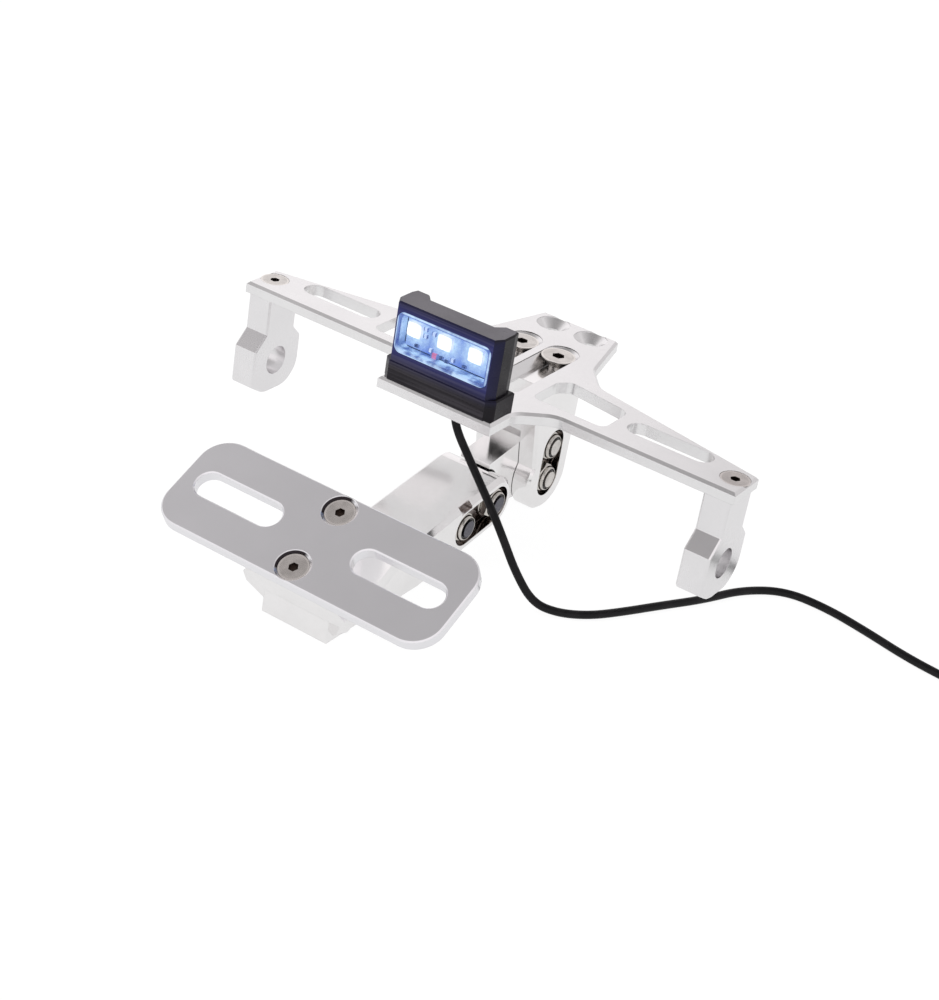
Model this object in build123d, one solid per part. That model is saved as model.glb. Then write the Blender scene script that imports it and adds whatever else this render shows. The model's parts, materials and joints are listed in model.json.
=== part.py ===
from build123d import *
import math
import os

# License plate frame for a motorbike's tail: a milled top plate carries two signal brackets and a
# plate lamp, and a hinged arm under it carries the small plate that the number plate bolts to.
# X runs along the wings, -Y is the lamp's side, Z is up. The block and the arm's head rest at Z 0.
# All sizes are in millimetres.

# Heights
UNDERSIDE_Z = 54.0
PLATE_T = 4.0
TOP_Z = UNDERSIDE_Z + PLATE_T

# Top plate outline
WING_HALF = 98.3
WING_FRONT_Y = 15.2
WING_TIP_BACK_Y = 31.6
WING_ROOT_X = 30.7
WING_ROOT_BACK_Y = 45.9
TAIL_BACK_Y = 83.5
TAIL_BACK_HALF = 15.6
TAIL_ROOT_HALF = 22.1
TAIL_ROOT_Y = 56.5
TONGUE_X = -1.2
TONGUE_HALF = 22.4
TONGUE_FRONT_Y = -7.8
TONGUE_ROOT_Y = 6.0
TONGUE_FLARE_X = 31.5
PLATE_EDGE_CHAMFER = 0.9
TONGUE_ROOT_R = 8.0
TAIL_ROOT_R = 9.0

# Openings of the top plate
OUTER_SLOT_INSET = 15.7
OUTER_SLOT_LENGTH = 31.5
OUTER_SLOT_FRONT_Y = 25.1
OUTER_SLOT_WIDTH = 8.9
WINDOW_FRONT_Y = 20.5
WINDOW_INNER_X = 18.8
WINDOW_OUTER_X = 46.7
WINDOW_SIDE_BACK_Y = 36.5
WINDOW_BACK_INNER = (22.2, 41.0)
WINDOW_BACK_OUTER = (43.8, 37.6)
WINDOW_R = 3.0
MOUNT_HOLE_SPACING = 15.64
MOUNT_HOLE_Y = 77.1

# Fasteners
SMALL_THREAD = 5.0
SMALL_HEAD = 10.0
SMALL_HEX = 3.0
SMALL_SCREW_LENGTH = 15.0
BIG_THREAD = 6.0
BIG_HEAD = 12.0
BIG_HEX = 4.0
BIG_SCREW_LENGTH = 15.0
BIG_CLEARANCE = 0.5
HEX_DEPTH_SHARE = 0.3
HEAD_LAND = 0.3
HEAD_ROOM = 0.12
THREAD_ROOM = 1.5
NUT_ACROSS = 10.0
NUT_HEIGHT = 4.8
NUT_COLLAR = 1.3
NUT_COLLAR_STEP = 0.4
BOLT_PROUD = 0.4
BOLT_HEAD = 10.0
BOLT_HEAD_HEIGHT = 3.6
BOLT_FIT = 0.05
SLOT_END_ROOM = 0.3

# Hinge block under the plate
BLOCK_HALF = 12.75
CHEEK_T = 6.7
BLOCK_TOP_FRONT_Y = 36.9
BLOCK_TOP_BACK_Y = 68.0
BLOCK_FRONT_SLOPE = 0.2
BLOCK_BOTTOM_R = 12.5
BLOCK_BOTTOM_Y = 54.6
BRIDGE_T = 14.0
BLOCK_CHAMFER = 1.0
SLIDE_SCREW_SPACING = 15.2
SLIDE_SCREW_Y = 55.5
SLIDE_SLOT_FRONT_Y = 22.0
SLIDE_SLOT_BACK_Y = 58.0
SLIDE_SLOT_WIDTH = 6.5
POCKET_WIDTH = 13.0
POCKET_DEPTH = 4.2

# Link between block and arm
LINK_SIDE_GAP = 0.15
UPPER_PIVOT_Y = 55.0
UPPER_PIVOT_Z = 24.4
UPPER_CLAMP_DROP = 12.9
UPPER_TILT = 10.0
LINK_REAR_R = 9.4
LINK_EYE_R = 5.8
LINK_NECK_TOP = 3.6
LINK_SHOULDER_GAP = 0.6
LINK_TOP_FRONT = (24.0, 25.5)
LINK_TOP_BACK = (45.0, 28.3)
LINK_BOTTOM_Z = 6.6
LINK_BOTTOM_DROP = 1.5
LINK_NECK_REACH = 3.0

# Arm and its head
LOWER_PIVOT_Y = 21.2
LOWER_PIVOT_Z = 14.1
ARM_SLOPE = 8.0
ARM_HEIGHT = 19.0
ARM_HALF = 12.75
ARM_REACH = 100.0
ARM_FRONT_Y = -72.0
LOWER_CLAMP_REACH = 18.0
LOWER_TILT = 12.0
ARM_ROOF_T = 3.4
ARM_SLOT_REACH = 26.0
ARM_CHAMFER = 1.6
ARM_NOTCH_REACH = 18.5
ARM_NOTCH_LENGTH = 6.0
ARM_NOTCH_DEPTH = 2.6
ARM_NOTCH_WIDTH = 2.0
HEAD_BOTTOM_HALF = 11.0
HEAD_WIDE_HALF = 20.0
HEAD_TOP_HALF = 13.5
HEAD_FLARE_RISE = 9.0
HEAD_BAND = 5.0
HEAD_FRONT_V = 15.5
HEAD_BACK_V = 16.5

# Carrier that the number plate bolts to
CARRIER_WIDTH = 107.0
CARRIER_HEIGHT = 36.4
CARRIER_T = 3.8
CARRIER_R = 10.0
CARRIER_CHAMFER = 0.5
CARRIER_TILT = 27.0
CARRIER_Y = -66.0
CARRIER_Z = 30.3
CARRIER_SLOT_X = 31.2
CARRIER_SLOT_LENGTH = 33.3
CARRIER_SLOT_WIDTH = 9.7
CARRIER_SCREW_PITCH = 24.0
CARRIER_SINK = 0.85

# Signal brackets
WING_SCREW_X = WING_HALF - 5.1
WING_SCREW_Y = 24.7
BRACKET_X = WING_SCREW_X - 1.0
BRACKET_WIDTH = 9.6
BRACKET_NECK_FRONT_Y = 15.7
BRACKET_NECK_BACK_Y = 31.6
BRACKET_HEAD_FRONT_Y = 10.3
BRACKET_HEAD_BACK_Y = 35.9
BRACKET_HEAD_TOP_Z = 35.4
BRACKET_TOE_Z = 21.4
BRACKET_HEEL_Z = 23.0
BRACKET_BOTTOM_Z = 17.1
BRACKET_BOTTOM_FRONT_Y = 17.6
BRACKET_BOTTOM_BACK_Y = 30.0
BRACKET_TOE_R = 1.0
BRACKET_BOTTOM_R = 9.0
BRACKET_BORE_R = 5.3
BRACKET_BORE_Y = 22.8
BRACKET_BORE_Z = 29.0
BRACKET_EDGE = 0.6

# Plate lamp
LAMP_X = -1.6
LAMP_TOP_Z = 86.0
BASE_FRONT_HALF = 19.0
BASE_HALF = 21.7
BASE_FRONT_SET_BACK = 0.6
BASE_CORNER_Y = -4.6
BASE_BACK_Y = 6.0
BASE_H = 7.0
BASE_EDGE = 0.5
HOUSING_FRONT_HALF = 18.6
HOUSING_HALF = 20.5
HOUSING_CORNER_Y = -3.6
HOUSING_SET_BACK = 0.1
HOUSING_BACK_Y = 2.2
HOUSING_WALL = 1.3
HOUSING_EDGE = 0.5
BOSS_OUTER_X = 19.8
BOSS_INNER_X = 12.5
BOSS_SLOPE = 2.5
BOSS_BACK_Y = 5.2
LENS_HALF = 18.1
LENS_H = 14.3
LENS_DROP = 10.3
LENS_T = 1.6
LENS_R = 2.6
LENS_PROUD = 0.3
LENS_FIT = 0.1
LENS_RIM = 1.0
BOARD_T = 1.2
BOARD_SET_BACK = 2.6
BOARD_MARGIN = 0.6
LED_SIZE = 6.0
LED_T = 1.0
LED_PITCH = 11.8
LED_RISE = 1.9
BOSS_SCREW_X = 16.2
BOSS_SCREW_Y = 2.3
BOSS_SCREW_R = 1.25
BOSS_SCREW_HEAD_R = 2.2
BOSS_SCREW_HEAD_H = 1.6
BOSS_SCREW_SINK = 2.0
BOSS_SCREW_LENGTH = 18.0
LAMP_SCREW_X = 11.5
LAMP_SCREW_Y = -0.2
LAMP_SCREW_R = 1.5
LAMP_SCREW_HEAD_R = 2.75
LAMP_SCREW_HEAD_H = 2.0
LAMP_SCREW_DEPTH = 5.0
LAMP_SCREW_HEX = 2.5
LAMP_SCREW_HEX_DEPTH = 1.2
HOLE_EASE = 0.25

# Lamp lead: where it leaves the tongue, its points, and its coil
CABLE_D = 2.8
EXIT_X = 3.4
EXIT_Y = -0.5
WIRE_R = 1.4
GROMMET_R = 2.4
GROMMET_FLANGE_R = 3.4
GROMMET_FLANGE_H = 1.3
CABLE_POINTS = [
    (EXIT_X, EXIT_Y, UNDERSIDE_Z - GROMMET_FLANGE_H),
    (EXIT_X, EXIT_Y, 48.9),
    (13.4, -1.6, 38.1),
    (19.0, -3.2, 33.3),
    (25.7, -6.0, 28.8),
    (33.0, -7.4, 20.8),
    (39.7, -8.1, 12.0),
    (47.4, -7.0, 3.2),
    (55.5, -3.4, 1.4),
    (63.8, 3.5, 1.4),
    (70.3, 13.9, 1.4),
    (77.6, 27.4, 1.4),
    (86.0, 42.0, 1.4),
    (92.4, 57.6, 1.4),
    (103.5, 69.0, 1.4),
    (119.0, 70.0, 1.4),
    (135.5, 66.8, 1.4),
    (153.0, 62.3, 1.4),
    (171.0, 60.6, 1.4),
]
COIL_MID_R = 15.5
COIL_WIDE = 3
COIL_HIGH = 2
COIL_TURNS = 5.25
COIL_X = 184.0
CONNECTOR_LENGTH = 12.0
CONNECTOR_WIDTH = 7.0
CONNECTOR_HEIGHT = 5.0
CONNECTOR_R = 0.8
TAIL_LENGTH = 30.0
TIE_WIDTH = 2.4
TIE_T = 0.7
TIE_HEAD = 3.6

os.makedirs("parts", exist_ok=True)
parts = {}


def add(name, solid):
    parts[name] = solid


def place(solid, x, y, z):
    return Location((x, y, z)) * solid


def cylinder_x(radius, x0, x1, y, z):
    """A round bar along X from x0 to x1."""
    return Location(((x0 + x1) / 2, y, z), (0, 90, 0)) * Cylinder(radius, abs(x1 - x0))


def cylinder_z(radius, z0, z1, x, y):
    """A round bar along Z from z0 to z1."""
    return place(Cylinder(radius, abs(z1 - z0)), x, y, (z0 + z1) / 2)


def side_profile(face_sketch, x0, x1):
    """Extrude a profile drawn in (Y, Z) from x0 to x1 along X."""
    plane = Plane(origin=(x0, 0, 0), x_dir=(0, 1, 0), z_dir=(1, 0, 0))
    return extrude(plane * face_sketch, x1 - x0)


def outline(points, arc_corners=()):
    """A face from straight runs; each listed corner point is rounded to its radius."""
    face = make_face(Polyline(*points, close=True))
    for (cx, cy), radius in arc_corners:
        corner = face.vertices().sort_by(lambda v, a=cx, b=cy: math.hypot(v.X - a, v.Y - b))[0]
        face = fillet(corner, radius)
    return face


def obround_y(y0, y1, width):
    """A slot drawn in (X, Y) whose round ends have their centres at y0 and y1."""
    return Pos(0, (y0 + y1) / 2) * Rot(0, 0, 90) * SlotCenterToCenter(abs(y1 - y0), width)


def countersunk_screw(thread, head, hexagon, length):
    """A flat-headed screw that points down, its head's top at Z 0."""
    land = HEAD_LAND
    cone_h = (head - thread) / 2
    profile = Polyline(
        (0, 0), (head / 2, 0), (head / 2, -land), (thread / 2, -land - cone_h),
        (thread / 2, -length + thread / 10), (thread / 2 - thread / 10, -length), (0, -length),
        close=True,
    )
    body = revolve(Plane.XZ * make_face(profile), Axis.Z)
    socket = extrude(RegularPolygon(hexagon / 2, 6, major_radius=False), -hexagon * (0.5 + HEX_DEPTH_SHARE))
    return body - socket


def countersink(thread, head, depth):
    """The hole that a flat-headed screw sits in, its mouth at Z 0."""
    room = HEAD_ROOM
    land = HEAD_LAND + room
    cone_h = (head - thread) / 2
    profile = Polyline(
        (0, 1), (head / 2 + room, 1), (head / 2 + room, -land), (thread / 2 + room, -land - cone_h),
        (thread / 2 + room, -depth), (0, -depth), close=True,
    )
    return revolve(Plane.XZ * make_face(profile), Axis.Z)


def lock_nut(x0, y, z):
    """A hexagon lock nut along X, seated at x0, with its round collar outwards."""
    hexagon = RegularPolygon(NUT_ACROSS / 2, 6, major_radius=False)
    plane = Plane(origin=(x0, y, z), x_dir=(0, 0, 1), z_dir=(1, 0, 0))
    nut = extrude(plane * hexagon, NUT_HEIGHT - NUT_COLLAR)
    collar = cylinder_x(NUT_ACROSS / 2 - NUT_COLLAR_STEP, x0 + NUT_HEIGHT - NUT_COLLAR, x0 + NUT_HEIGHT, y, z)
    hole = cylinder_x(BIG_THREAD / 2 + BOLT_FIT, x0 - 1, x0 + NUT_HEIGHT + 1, y, z)
    return nut + collar - hole


def hinge_bolt(half, y, z):
    """A bolt along X, its head in the left pocket and its end just past the nut on the right."""
    floor = half - POCKET_DEPTH
    head = cylinder_x(BOLT_HEAD / 2, -floor - BOLT_HEAD_HEIGHT, -floor, y, z)
    shank = cylinder_x(BIG_THREAD / 2, -floor, floor + NUT_HEIGHT + BOLT_PROUD, y, z)
    plane = Plane(origin=(-floor - BOLT_HEAD_HEIGHT, y, z), x_dir=(0, 0, 1), z_dir=(1, 0, 0))
    socket = extrude(plane * RegularPolygon(BIG_HEX / 2, 6, major_radius=False), BIG_HEX / 2)
    return head + shank - socket


def top_plate():
    half = [
        (TONGUE_FLARE_X, WING_FRONT_Y), (WING_HALF, WING_FRONT_Y), (WING_HALF, WING_TIP_BACK_Y),
        (WING_ROOT_X, WING_ROOT_BACK_Y), (TAIL_ROOT_HALF, TAIL_ROOT_Y), (TAIL_BACK_HALF, TAIL_BACK_Y),
    ]
    tongue = [
        (TONGUE_X - TONGUE_HALF, TONGUE_ROOT_Y), (TONGUE_X - TONGUE_HALF, TONGUE_FRONT_Y),
        (TONGUE_X + TONGUE_HALF, TONGUE_FRONT_Y), (TONGUE_X + TONGUE_HALF, TONGUE_ROOT_Y),
    ]
    points = half + [(-x, y) for x, y in reversed(half)] + tongue
    corners = []
    for side in (1, -1):
        corners += [
            ((TONGUE_X + side * TONGUE_HALF, TONGUE_ROOT_Y), TONGUE_ROOT_R),
            ((side * TONGUE_FLARE_X, WING_FRONT_Y), TONGUE_ROOT_R),
            ((side * WING_ROOT_X, WING_ROOT_BACK_Y), TAIL_ROOT_R),
            ((side * TAIL_ROOT_HALF, TAIL_ROOT_Y), TAIL_ROOT_R),
        ]
    plate = extrude(Plane.XY.offset(UNDERSIDE_Z) * outline(points, corners), PLATE_T)
    plate = chamfer(plate.faces().sort_by(Axis.Z)[-1].edges(), PLATE_EDGE_CHAMFER)

    for side in (1, -1):
        outer = Pos(
            side * (WING_HALF - OUTER_SLOT_INSET - OUTER_SLOT_LENGTH / 2),
            OUTER_SLOT_FRONT_Y + OUTER_SLOT_WIDTH / 2,
        ) * SlotOverall(OUTER_SLOT_LENGTH, OUTER_SLOT_WIDTH)
        window_points = [
            (side * WINDOW_INNER_X, WINDOW_FRONT_Y), (side * WINDOW_OUTER_X, WINDOW_FRONT_Y),
            (side * WINDOW_OUTER_X, WINDOW_SIDE_BACK_Y),
            (side * WINDOW_BACK_OUTER[0], WINDOW_BACK_OUTER[1]),
            (side * WINDOW_BACK_INNER[0], WINDOW_BACK_INNER[1]),
            (side * WINDOW_INNER_X, WINDOW_SIDE_BACK_Y),
        ]
        window = make_face(Polyline(*window_points, close=True))
        window = fillet(window.vertices(), WINDOW_R)
        for gap in (outer, window):
            plate -= extrude(Plane.XY.offset(UNDERSIDE_Z - 1) * gap, PLATE_T + 2)
        plate -= place(countersink(SMALL_THREAD, SMALL_HEAD, PLATE_T + 1), side * WING_SCREW_X, WING_SCREW_Y, TOP_Z)
        plate -= place(
            countersink(BIG_THREAD, BIG_HEAD, PLATE_T + 1), side * MOUNT_HOLE_SPACING / 2, MOUNT_HOLE_Y, TOP_Z
        )
        plate -= place(slide_slot(), side * SLIDE_SCREW_SPACING / 2, 0, TOP_Z)
        plate -= cylinder_z(
            LAMP_SCREW_R + HOLE_EASE, UNDERSIDE_Z - 1, TOP_Z + 1, LAMP_X + side * LAMP_SCREW_X, LAMP_SCREW_Y
        )
    plate -= cylinder_z(GROMMET_R, UNDERSIDE_Z - 1, TOP_Z + 1, EXIT_X, EXIT_Y)
    add("top_plate", plate)


def slide_slot():
    """The countersunk slot that one slide screw runs in, its mouth at Z 0 and its middle at X 0."""
    straight = Plane.XY.offset(-PLATE_T - 1) * obround_y(SLIDE_SLOT_FRONT_Y, SLIDE_SLOT_BACK_Y, SLIDE_SLOT_WIDTH)
    slot = extrude(straight, PLATE_T + 2)
    sink = countersink(BIG_THREAD, BIG_HEAD, PLATE_T)
    section = sink & Box(BIG_HEAD * 2, 0.01, PLATE_T * 4)
    middle = section.faces().sort_by(Axis.Y)[0]
    run = extrude(middle, SLIDE_SLOT_BACK_Y - SLIDE_SLOT_FRONT_Y, dir=(0, 1, 0))
    run = place(run, 0, SLIDE_SLOT_FRONT_Y, 0)
    return slot + run + place(sink, 0, SLIDE_SLOT_FRONT_Y, 0) + place(sink, 0, SLIDE_SLOT_BACK_Y, 0)


def signal_brackets():
    toe = (BRACKET_HEAD_FRONT_Y, BRACKET_TOE_Z)
    heel = (BRACKET_HEAD_BACK_Y, BRACKET_HEEL_Z)
    bottom_front = (BRACKET_BOTTOM_FRONT_Y, BRACKET_BOTTOM_Z)
    bottom_back = (BRACKET_BOTTOM_BACK_Y, BRACKET_BOTTOM_Z)
    front_shoulder_z = BRACKET_HEAD_TOP_Z + BRACKET_NECK_FRONT_Y - BRACKET_HEAD_FRONT_Y
    back_shoulder_z = BRACKET_HEAD_TOP_Z + BRACKET_HEAD_BACK_Y - BRACKET_NECK_BACK_Y
    points = [
        (BRACKET_NECK_FRONT_Y, UNDERSIDE_Z), (BRACKET_NECK_FRONT_Y, front_shoulder_z),
        (BRACKET_HEAD_FRONT_Y, BRACKET_HEAD_TOP_Z), toe, bottom_front, bottom_back, heel,
        (BRACKET_HEAD_BACK_Y, BRACKET_HEAD_TOP_Z), (BRACKET_NECK_BACK_Y, back_shoulder_z),
        (BRACKET_NECK_BACK_Y, UNDERSIDE_Z),
    ]
    face = outline(points, [
        (toe, BRACKET_TOE_R), (bottom_front, BRACKET_BOTTOM_R), (bottom_back, BRACKET_BOTTOM_R),
        (heel, BRACKET_BOTTOM_R),
    ])
    for name, side in (("right", 1), ("left", -1)):
        middle = side * BRACKET_X
        body = side_profile(face, middle - BRACKET_WIDTH / 2, middle + BRACKET_WIDTH / 2)
        sides = body.faces().filter_by(Axis.X)
        body = chamfer([e for f in sides for e in f.edges()], BRACKET_EDGE)
        body -= cylinder_x(
            BRACKET_BORE_R, middle - BRACKET_WIDTH, middle + BRACKET_WIDTH, BRACKET_BORE_Y, BRACKET_BORE_Z
        )
        body -= cylinder_z(
            SMALL_THREAD / 2, TOP_Z - SMALL_SCREW_LENGTH - THREAD_ROOM, UNDERSIDE_Z + 1, side * WING_SCREW_X,
            WING_SCREW_Y,
        )
        add(f"signal_bracket_{name}", body)
        screw = countersunk_screw(SMALL_THREAD, SMALL_HEAD, SMALL_HEX, SMALL_SCREW_LENGTH)
        add(f"wing_screw_{name}", place(screw, side * WING_SCREW_X, WING_SCREW_Y, TOP_Z - HEAD_ROOM))


def hinge_block():
    bottom_z = BLOCK_BOTTOM_R
    slope_foot_y = BLOCK_TOP_FRONT_Y + BLOCK_FRONT_SLOPE * (UNDERSIDE_Z - bottom_z)
    front_foot_y = max(slope_foot_y, BLOCK_BOTTOM_Y - BLOCK_BOTTOM_R)
    back_foot_y = BLOCK_BOTTOM_Y + BLOCK_BOTTOM_R
    shape = make_face(Polyline(
        (BLOCK_TOP_FRONT_Y, UNDERSIDE_Z), (BLOCK_TOP_BACK_Y, UNDERSIDE_Z),
        (back_foot_y, bottom_z), (BLOCK_BOTTOM_Y, bottom_z), (front_foot_y, bottom_z), close=True,
    ))
    shape += Pos(BLOCK_BOTTOM_Y, bottom_z) * Circle(BLOCK_BOTTOM_R)
    body = side_profile(shape, -BLOCK_HALF, BLOCK_HALF)
    sides = body.faces().filter_by(Axis.X)
    body = chamfer([e for f in sides for e in f.edges() if e.center().Z < UNDERSIDE_Z - 1], BLOCK_CHAMFER)
    inner = BLOCK_HALF - CHEEK_T
    fork_top = UNDERSIDE_Z - BRIDGE_T
    body -= place(Box(2 * inner, 2 * BLOCK_TOP_BACK_Y, 2 * fork_top), 0, BLOCK_BOTTOM_Y, 0)
    pocket = Pos(UPPER_PIVOT_Y, UPPER_PIVOT_Z - UPPER_CLAMP_DROP / 2) * Rot(0, 0, 90) * SlotCenterToCenter(
        UPPER_CLAMP_DROP, POCKET_WIDTH
    )
    body -= side_profile(pocket, BLOCK_HALF - POCKET_DEPTH, BLOCK_HALF + 1)
    body -= side_profile(pocket, -BLOCK_HALF - 1, -BLOCK_HALF + POCKET_DEPTH)
    for z in (UPPER_PIVOT_Z, UPPER_PIVOT_Z - UPPER_CLAMP_DROP):
        body -= cylinder_x(BIG_THREAD / 2 + BOLT_FIT, -BLOCK_HALF - 1, BLOCK_HALF + 1, UPPER_PIVOT_Y, z)
    for side in (1, -1):
        x = side * SLIDE_SCREW_SPACING / 2
        body -= cylinder_z(
            BIG_THREAD / 2, TOP_Z - BIG_SCREW_LENGTH - THREAD_ROOM, UNDERSIDE_Z + 1, x, SLIDE_SCREW_Y
        )
    add("hinge_block", body)
    for name, side in (("right", 1), ("left", -1)):
        screw = countersunk_screw(BIG_THREAD, BIG_HEAD, BIG_HEX, BIG_SCREW_LENGTH)
        add(f"slide_screw_{name}", place(screw, side * SLIDE_SCREW_SPACING / 2, SLIDE_SCREW_Y, TOP_Z - HEAD_ROOM))
    floor = BLOCK_HALF - POCKET_DEPTH
    for name, z in (("upper_pivot", UPPER_PIVOT_Z), ("upper_clamp", UPPER_PIVOT_Z - UPPER_CLAMP_DROP)):
        add(f"{name}_bolt", hinge_bolt(BLOCK_HALF, UPPER_PIVOT_Y, z))
        add(f"{name}_nut", lock_nut(floor, UPPER_PIVOT_Y, z))


def arc_slot(centre_y, centre_z, radius, toward, tilt, width):
    """A curved slot in (Y, Z) about a pivot, wide enough for a bolt over the whole tilt each way."""
    inner, outer = radius - width / 2, radius + width / 2
    spread = tilt + math.degrees(SLOT_END_ROOM / radius)
    ring = Circle(outer) - Circle(inner)
    reach = outer * 2
    a0, a1 = math.radians(toward - spread), math.radians(toward + spread)
    wedge = make_face(Polyline(
        (0, 0), (reach * math.cos(a0), reach * math.sin(a0)), (reach * math.cos(a1), reach * math.sin(a1)),
        close=True,
    ))
    slot = ring & wedge
    for angle in (a0, a1):
        slot += Pos(radius * math.cos(angle), radius * math.sin(angle)) * Circle(width / 2)
    return Pos(centre_y, centre_z) * slot


def lower_clamp_point():
    slope = math.radians(ARM_SLOPE)
    return (
        LOWER_PIVOT_Y - LOWER_CLAMP_REACH * math.cos(slope),
        LOWER_PIVOT_Z - LOWER_CLAMP_REACH * math.sin(slope),
    )


def link():
    half = BLOCK_HALF - CHEEK_T - LINK_SIDE_GAP
    clamp_z = UPPER_PIVOT_Z - UPPER_CLAMP_DROP
    shape = Pos(UPPER_PIVOT_Y, UPPER_PIVOT_Z) * Circle(LINK_REAR_R)
    shape += Pos(UPPER_PIVOT_Y, clamp_z) * Circle(LINK_REAR_R)
    shape += make_face(Polyline(
        LINK_TOP_FRONT, LINK_TOP_BACK, (UPPER_PIVOT_Y, UPPER_PIVOT_Z + LINK_REAR_R),
        (UPPER_PIVOT_Y + LINK_REAR_R, UPPER_PIVOT_Z), (UPPER_PIVOT_Y + LINK_REAR_R, clamp_z),
        (UPPER_PIVOT_Y, clamp_z - LINK_REAR_R), (LINK_TOP_BACK[0], LINK_BOTTOM_Z - LINK_BOTTOM_DROP),
        (LINK_TOP_FRONT[0], LINK_BOTTOM_Z), close=True,
    ))
    shape -= Pos(LOWER_PIVOT_Y, LOWER_PIVOT_Z) * Circle(ARM_HEIGHT / 2 + LINK_SHOULDER_GAP)
    neck_back = LOWER_PIVOT_Y + ARM_HEIGHT / 2 + LINK_NECK_REACH
    shape += make_face(Polyline(
        (LOWER_PIVOT_Y, LOWER_PIVOT_Z + LINK_NECK_TOP), (neck_back, LOWER_PIVOT_Z + LINK_NECK_TOP),
        (neck_back, LOWER_PIVOT_Z - LINK_EYE_R), (LOWER_PIVOT_Y, LOWER_PIVOT_Z - LINK_EYE_R), close=True,
    ))
    shape += Pos(LOWER_PIVOT_Y, LOWER_PIVOT_Z) * Circle(LINK_EYE_R)
    body = side_profile(shape, -half, half)
    for y, z in ((UPPER_PIVOT_Y, UPPER_PIVOT_Z), (LOWER_PIVOT_Y, LOWER_PIVOT_Z)):
        body -= cylinder_x(BIG_THREAD / 2 + BOLT_FIT, -half - 1, half + 1, y, z)
    slot = arc_slot(
        UPPER_PIVOT_Y, UPPER_PIVOT_Z, UPPER_CLAMP_DROP, -90, UPPER_TILT, BIG_THREAD + BIG_CLEARANCE
    )
    body -= side_profile(slot, -half - 1, half + 1)
    add("hinge_link", body)


def arm_frame():
    """The arm's own plane: local X runs forward down the arm, local Y is up from its middle line."""
    slope = math.radians(ARM_SLOPE)
    return Plane(
        origin=(0, LOWER_PIVOT_Y, LOWER_PIVOT_Z), x_dir=(0, -math.cos(slope), -math.sin(slope)), z_dir=(-1, 0, 0)
    )


def carrier_plane():
    """Local X is the object's X, local Y climbs the carrier to the rear, local Z leaves its face."""
    return Plane(origin=(0, CARRIER_Y, CARRIER_Z), x_dir=(1, 0, 0), z_dir=(
        0, -math.sin(math.radians(CARRIER_TILT)), math.cos(math.radians(CARRIER_TILT))
    ))


def arm():
    plane = arm_frame()
    half_h = ARM_HEIGHT / 2
    bar = Circle(half_h) + Pos(ARM_REACH / 2, 0) * Rectangle(ARM_REACH, ARM_HEIGHT)
    bar = extrude(plane * bar, ARM_HALF, both=True)
    top = bar.faces().sort_by(lambda f: f.center().Z - f.center().Y * math.tan(math.radians(ARM_SLOPE)))[-1]
    bar = chamfer(top.edges().filter_by(lambda e: e.length > ARM_REACH / 2), ARM_CHAMFER)
    reach = 2 * ARM_REACH
    bar &= place(Box(4 * ARM_HALF, 2 * reach, 2 * reach), 0, ARM_FRONT_Y + reach, reach)

    carrier = carrier_plane()
    under = carrier.offset(-CARRIER_T)
    wide_w = -(CARRIER_Z / math.cos(math.radians(CARRIER_TILT)) - CARRIER_T)
    bottom_w = wide_w + HEAD_FRONT_V * math.tan(math.radians(CARRIER_TILT))
    half = [
        (HEAD_TOP_HALF, 0), (HEAD_WIDE_HALF, bottom_w + HEAD_FLARE_RISE + HEAD_BAND),
        (HEAD_WIDE_HALF, bottom_w + HEAD_FLARE_RISE), (HEAD_BOTTOM_HALF, bottom_w),
        (HEAD_BOTTOM_HALF, bottom_w - HEAD_FRONT_V),
    ]
    section = make_face(Polyline(*(half + [(-x, w) for x, w in reversed(half)]), close=True))
    front = under.from_local_coords(Vector(0, -HEAD_FRONT_V, 0))
    section_plane = Plane(origin=front, x_dir=(1, 0, 0), z_dir=under.y_dir * -1)
    head = extrude(section_plane * section, -(HEAD_FRONT_V + HEAD_BACK_V))
    head &= place(Box(4 * HEAD_WIDE_HALF, 2 * reach, 2 * reach), 0, 0, reach)
    body = bar + head

    inner = BLOCK_HALF - CHEEK_T
    slot = Pos(ARM_SLOT_REACH / 2 - half_h, -half_h / 2 - ARM_ROOF_T / 2) * Rectangle(
        ARM_SLOT_REACH + half_h, ARM_HEIGHT - ARM_ROOF_T + half_h
    )
    body -= extrude(plane * slot, inner, both=True)
    pocket = Pos(LOWER_CLAMP_REACH / 2, 0) * SlotCenterToCenter(LOWER_CLAMP_REACH, POCKET_WIDTH)
    for side in (1, -1):
        start = plane.offset(-side * ARM_HALF)
        body -= extrude(start * pocket, side * POCKET_DEPTH)
    clamp_y, clamp_z = lower_clamp_point()
    for y, z in ((LOWER_PIVOT_Y, LOWER_PIVOT_Z), (clamp_y, clamp_z)):
        body -= cylinder_x(BIG_THREAD / 2 + BOLT_FIT, -ARM_HALF - 1, ARM_HALF + 1, y, z)
    notch = Pos(ARM_NOTCH_REACH, half_h) * Rectangle(ARM_NOTCH_LENGTH, 2 * ARM_NOTCH_DEPTH)
    body -= extrude(plane.offset(-ARM_HALF - 1) * notch, ARM_NOTCH_WIDTH + 1)
    for side in (1, -1):
        hole = Cylinder(SMALL_THREAD / 2, 2 * SMALL_SCREW_LENGTH)
        body -= carrier * Pos(0, side * CARRIER_SCREW_PITCH / 2, 0) * hole
    add("arm", body)
    floor = ARM_HALF - POCKET_DEPTH
    for name, y, z in (("lower_pivot", LOWER_PIVOT_Y, LOWER_PIVOT_Z), ("lower_clamp", clamp_y, clamp_z)):
        add(f"{name}_bolt", hinge_bolt(ARM_HALF, y, z))
        add(f"{name}_nut", lock_nut(floor, y, z))


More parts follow.
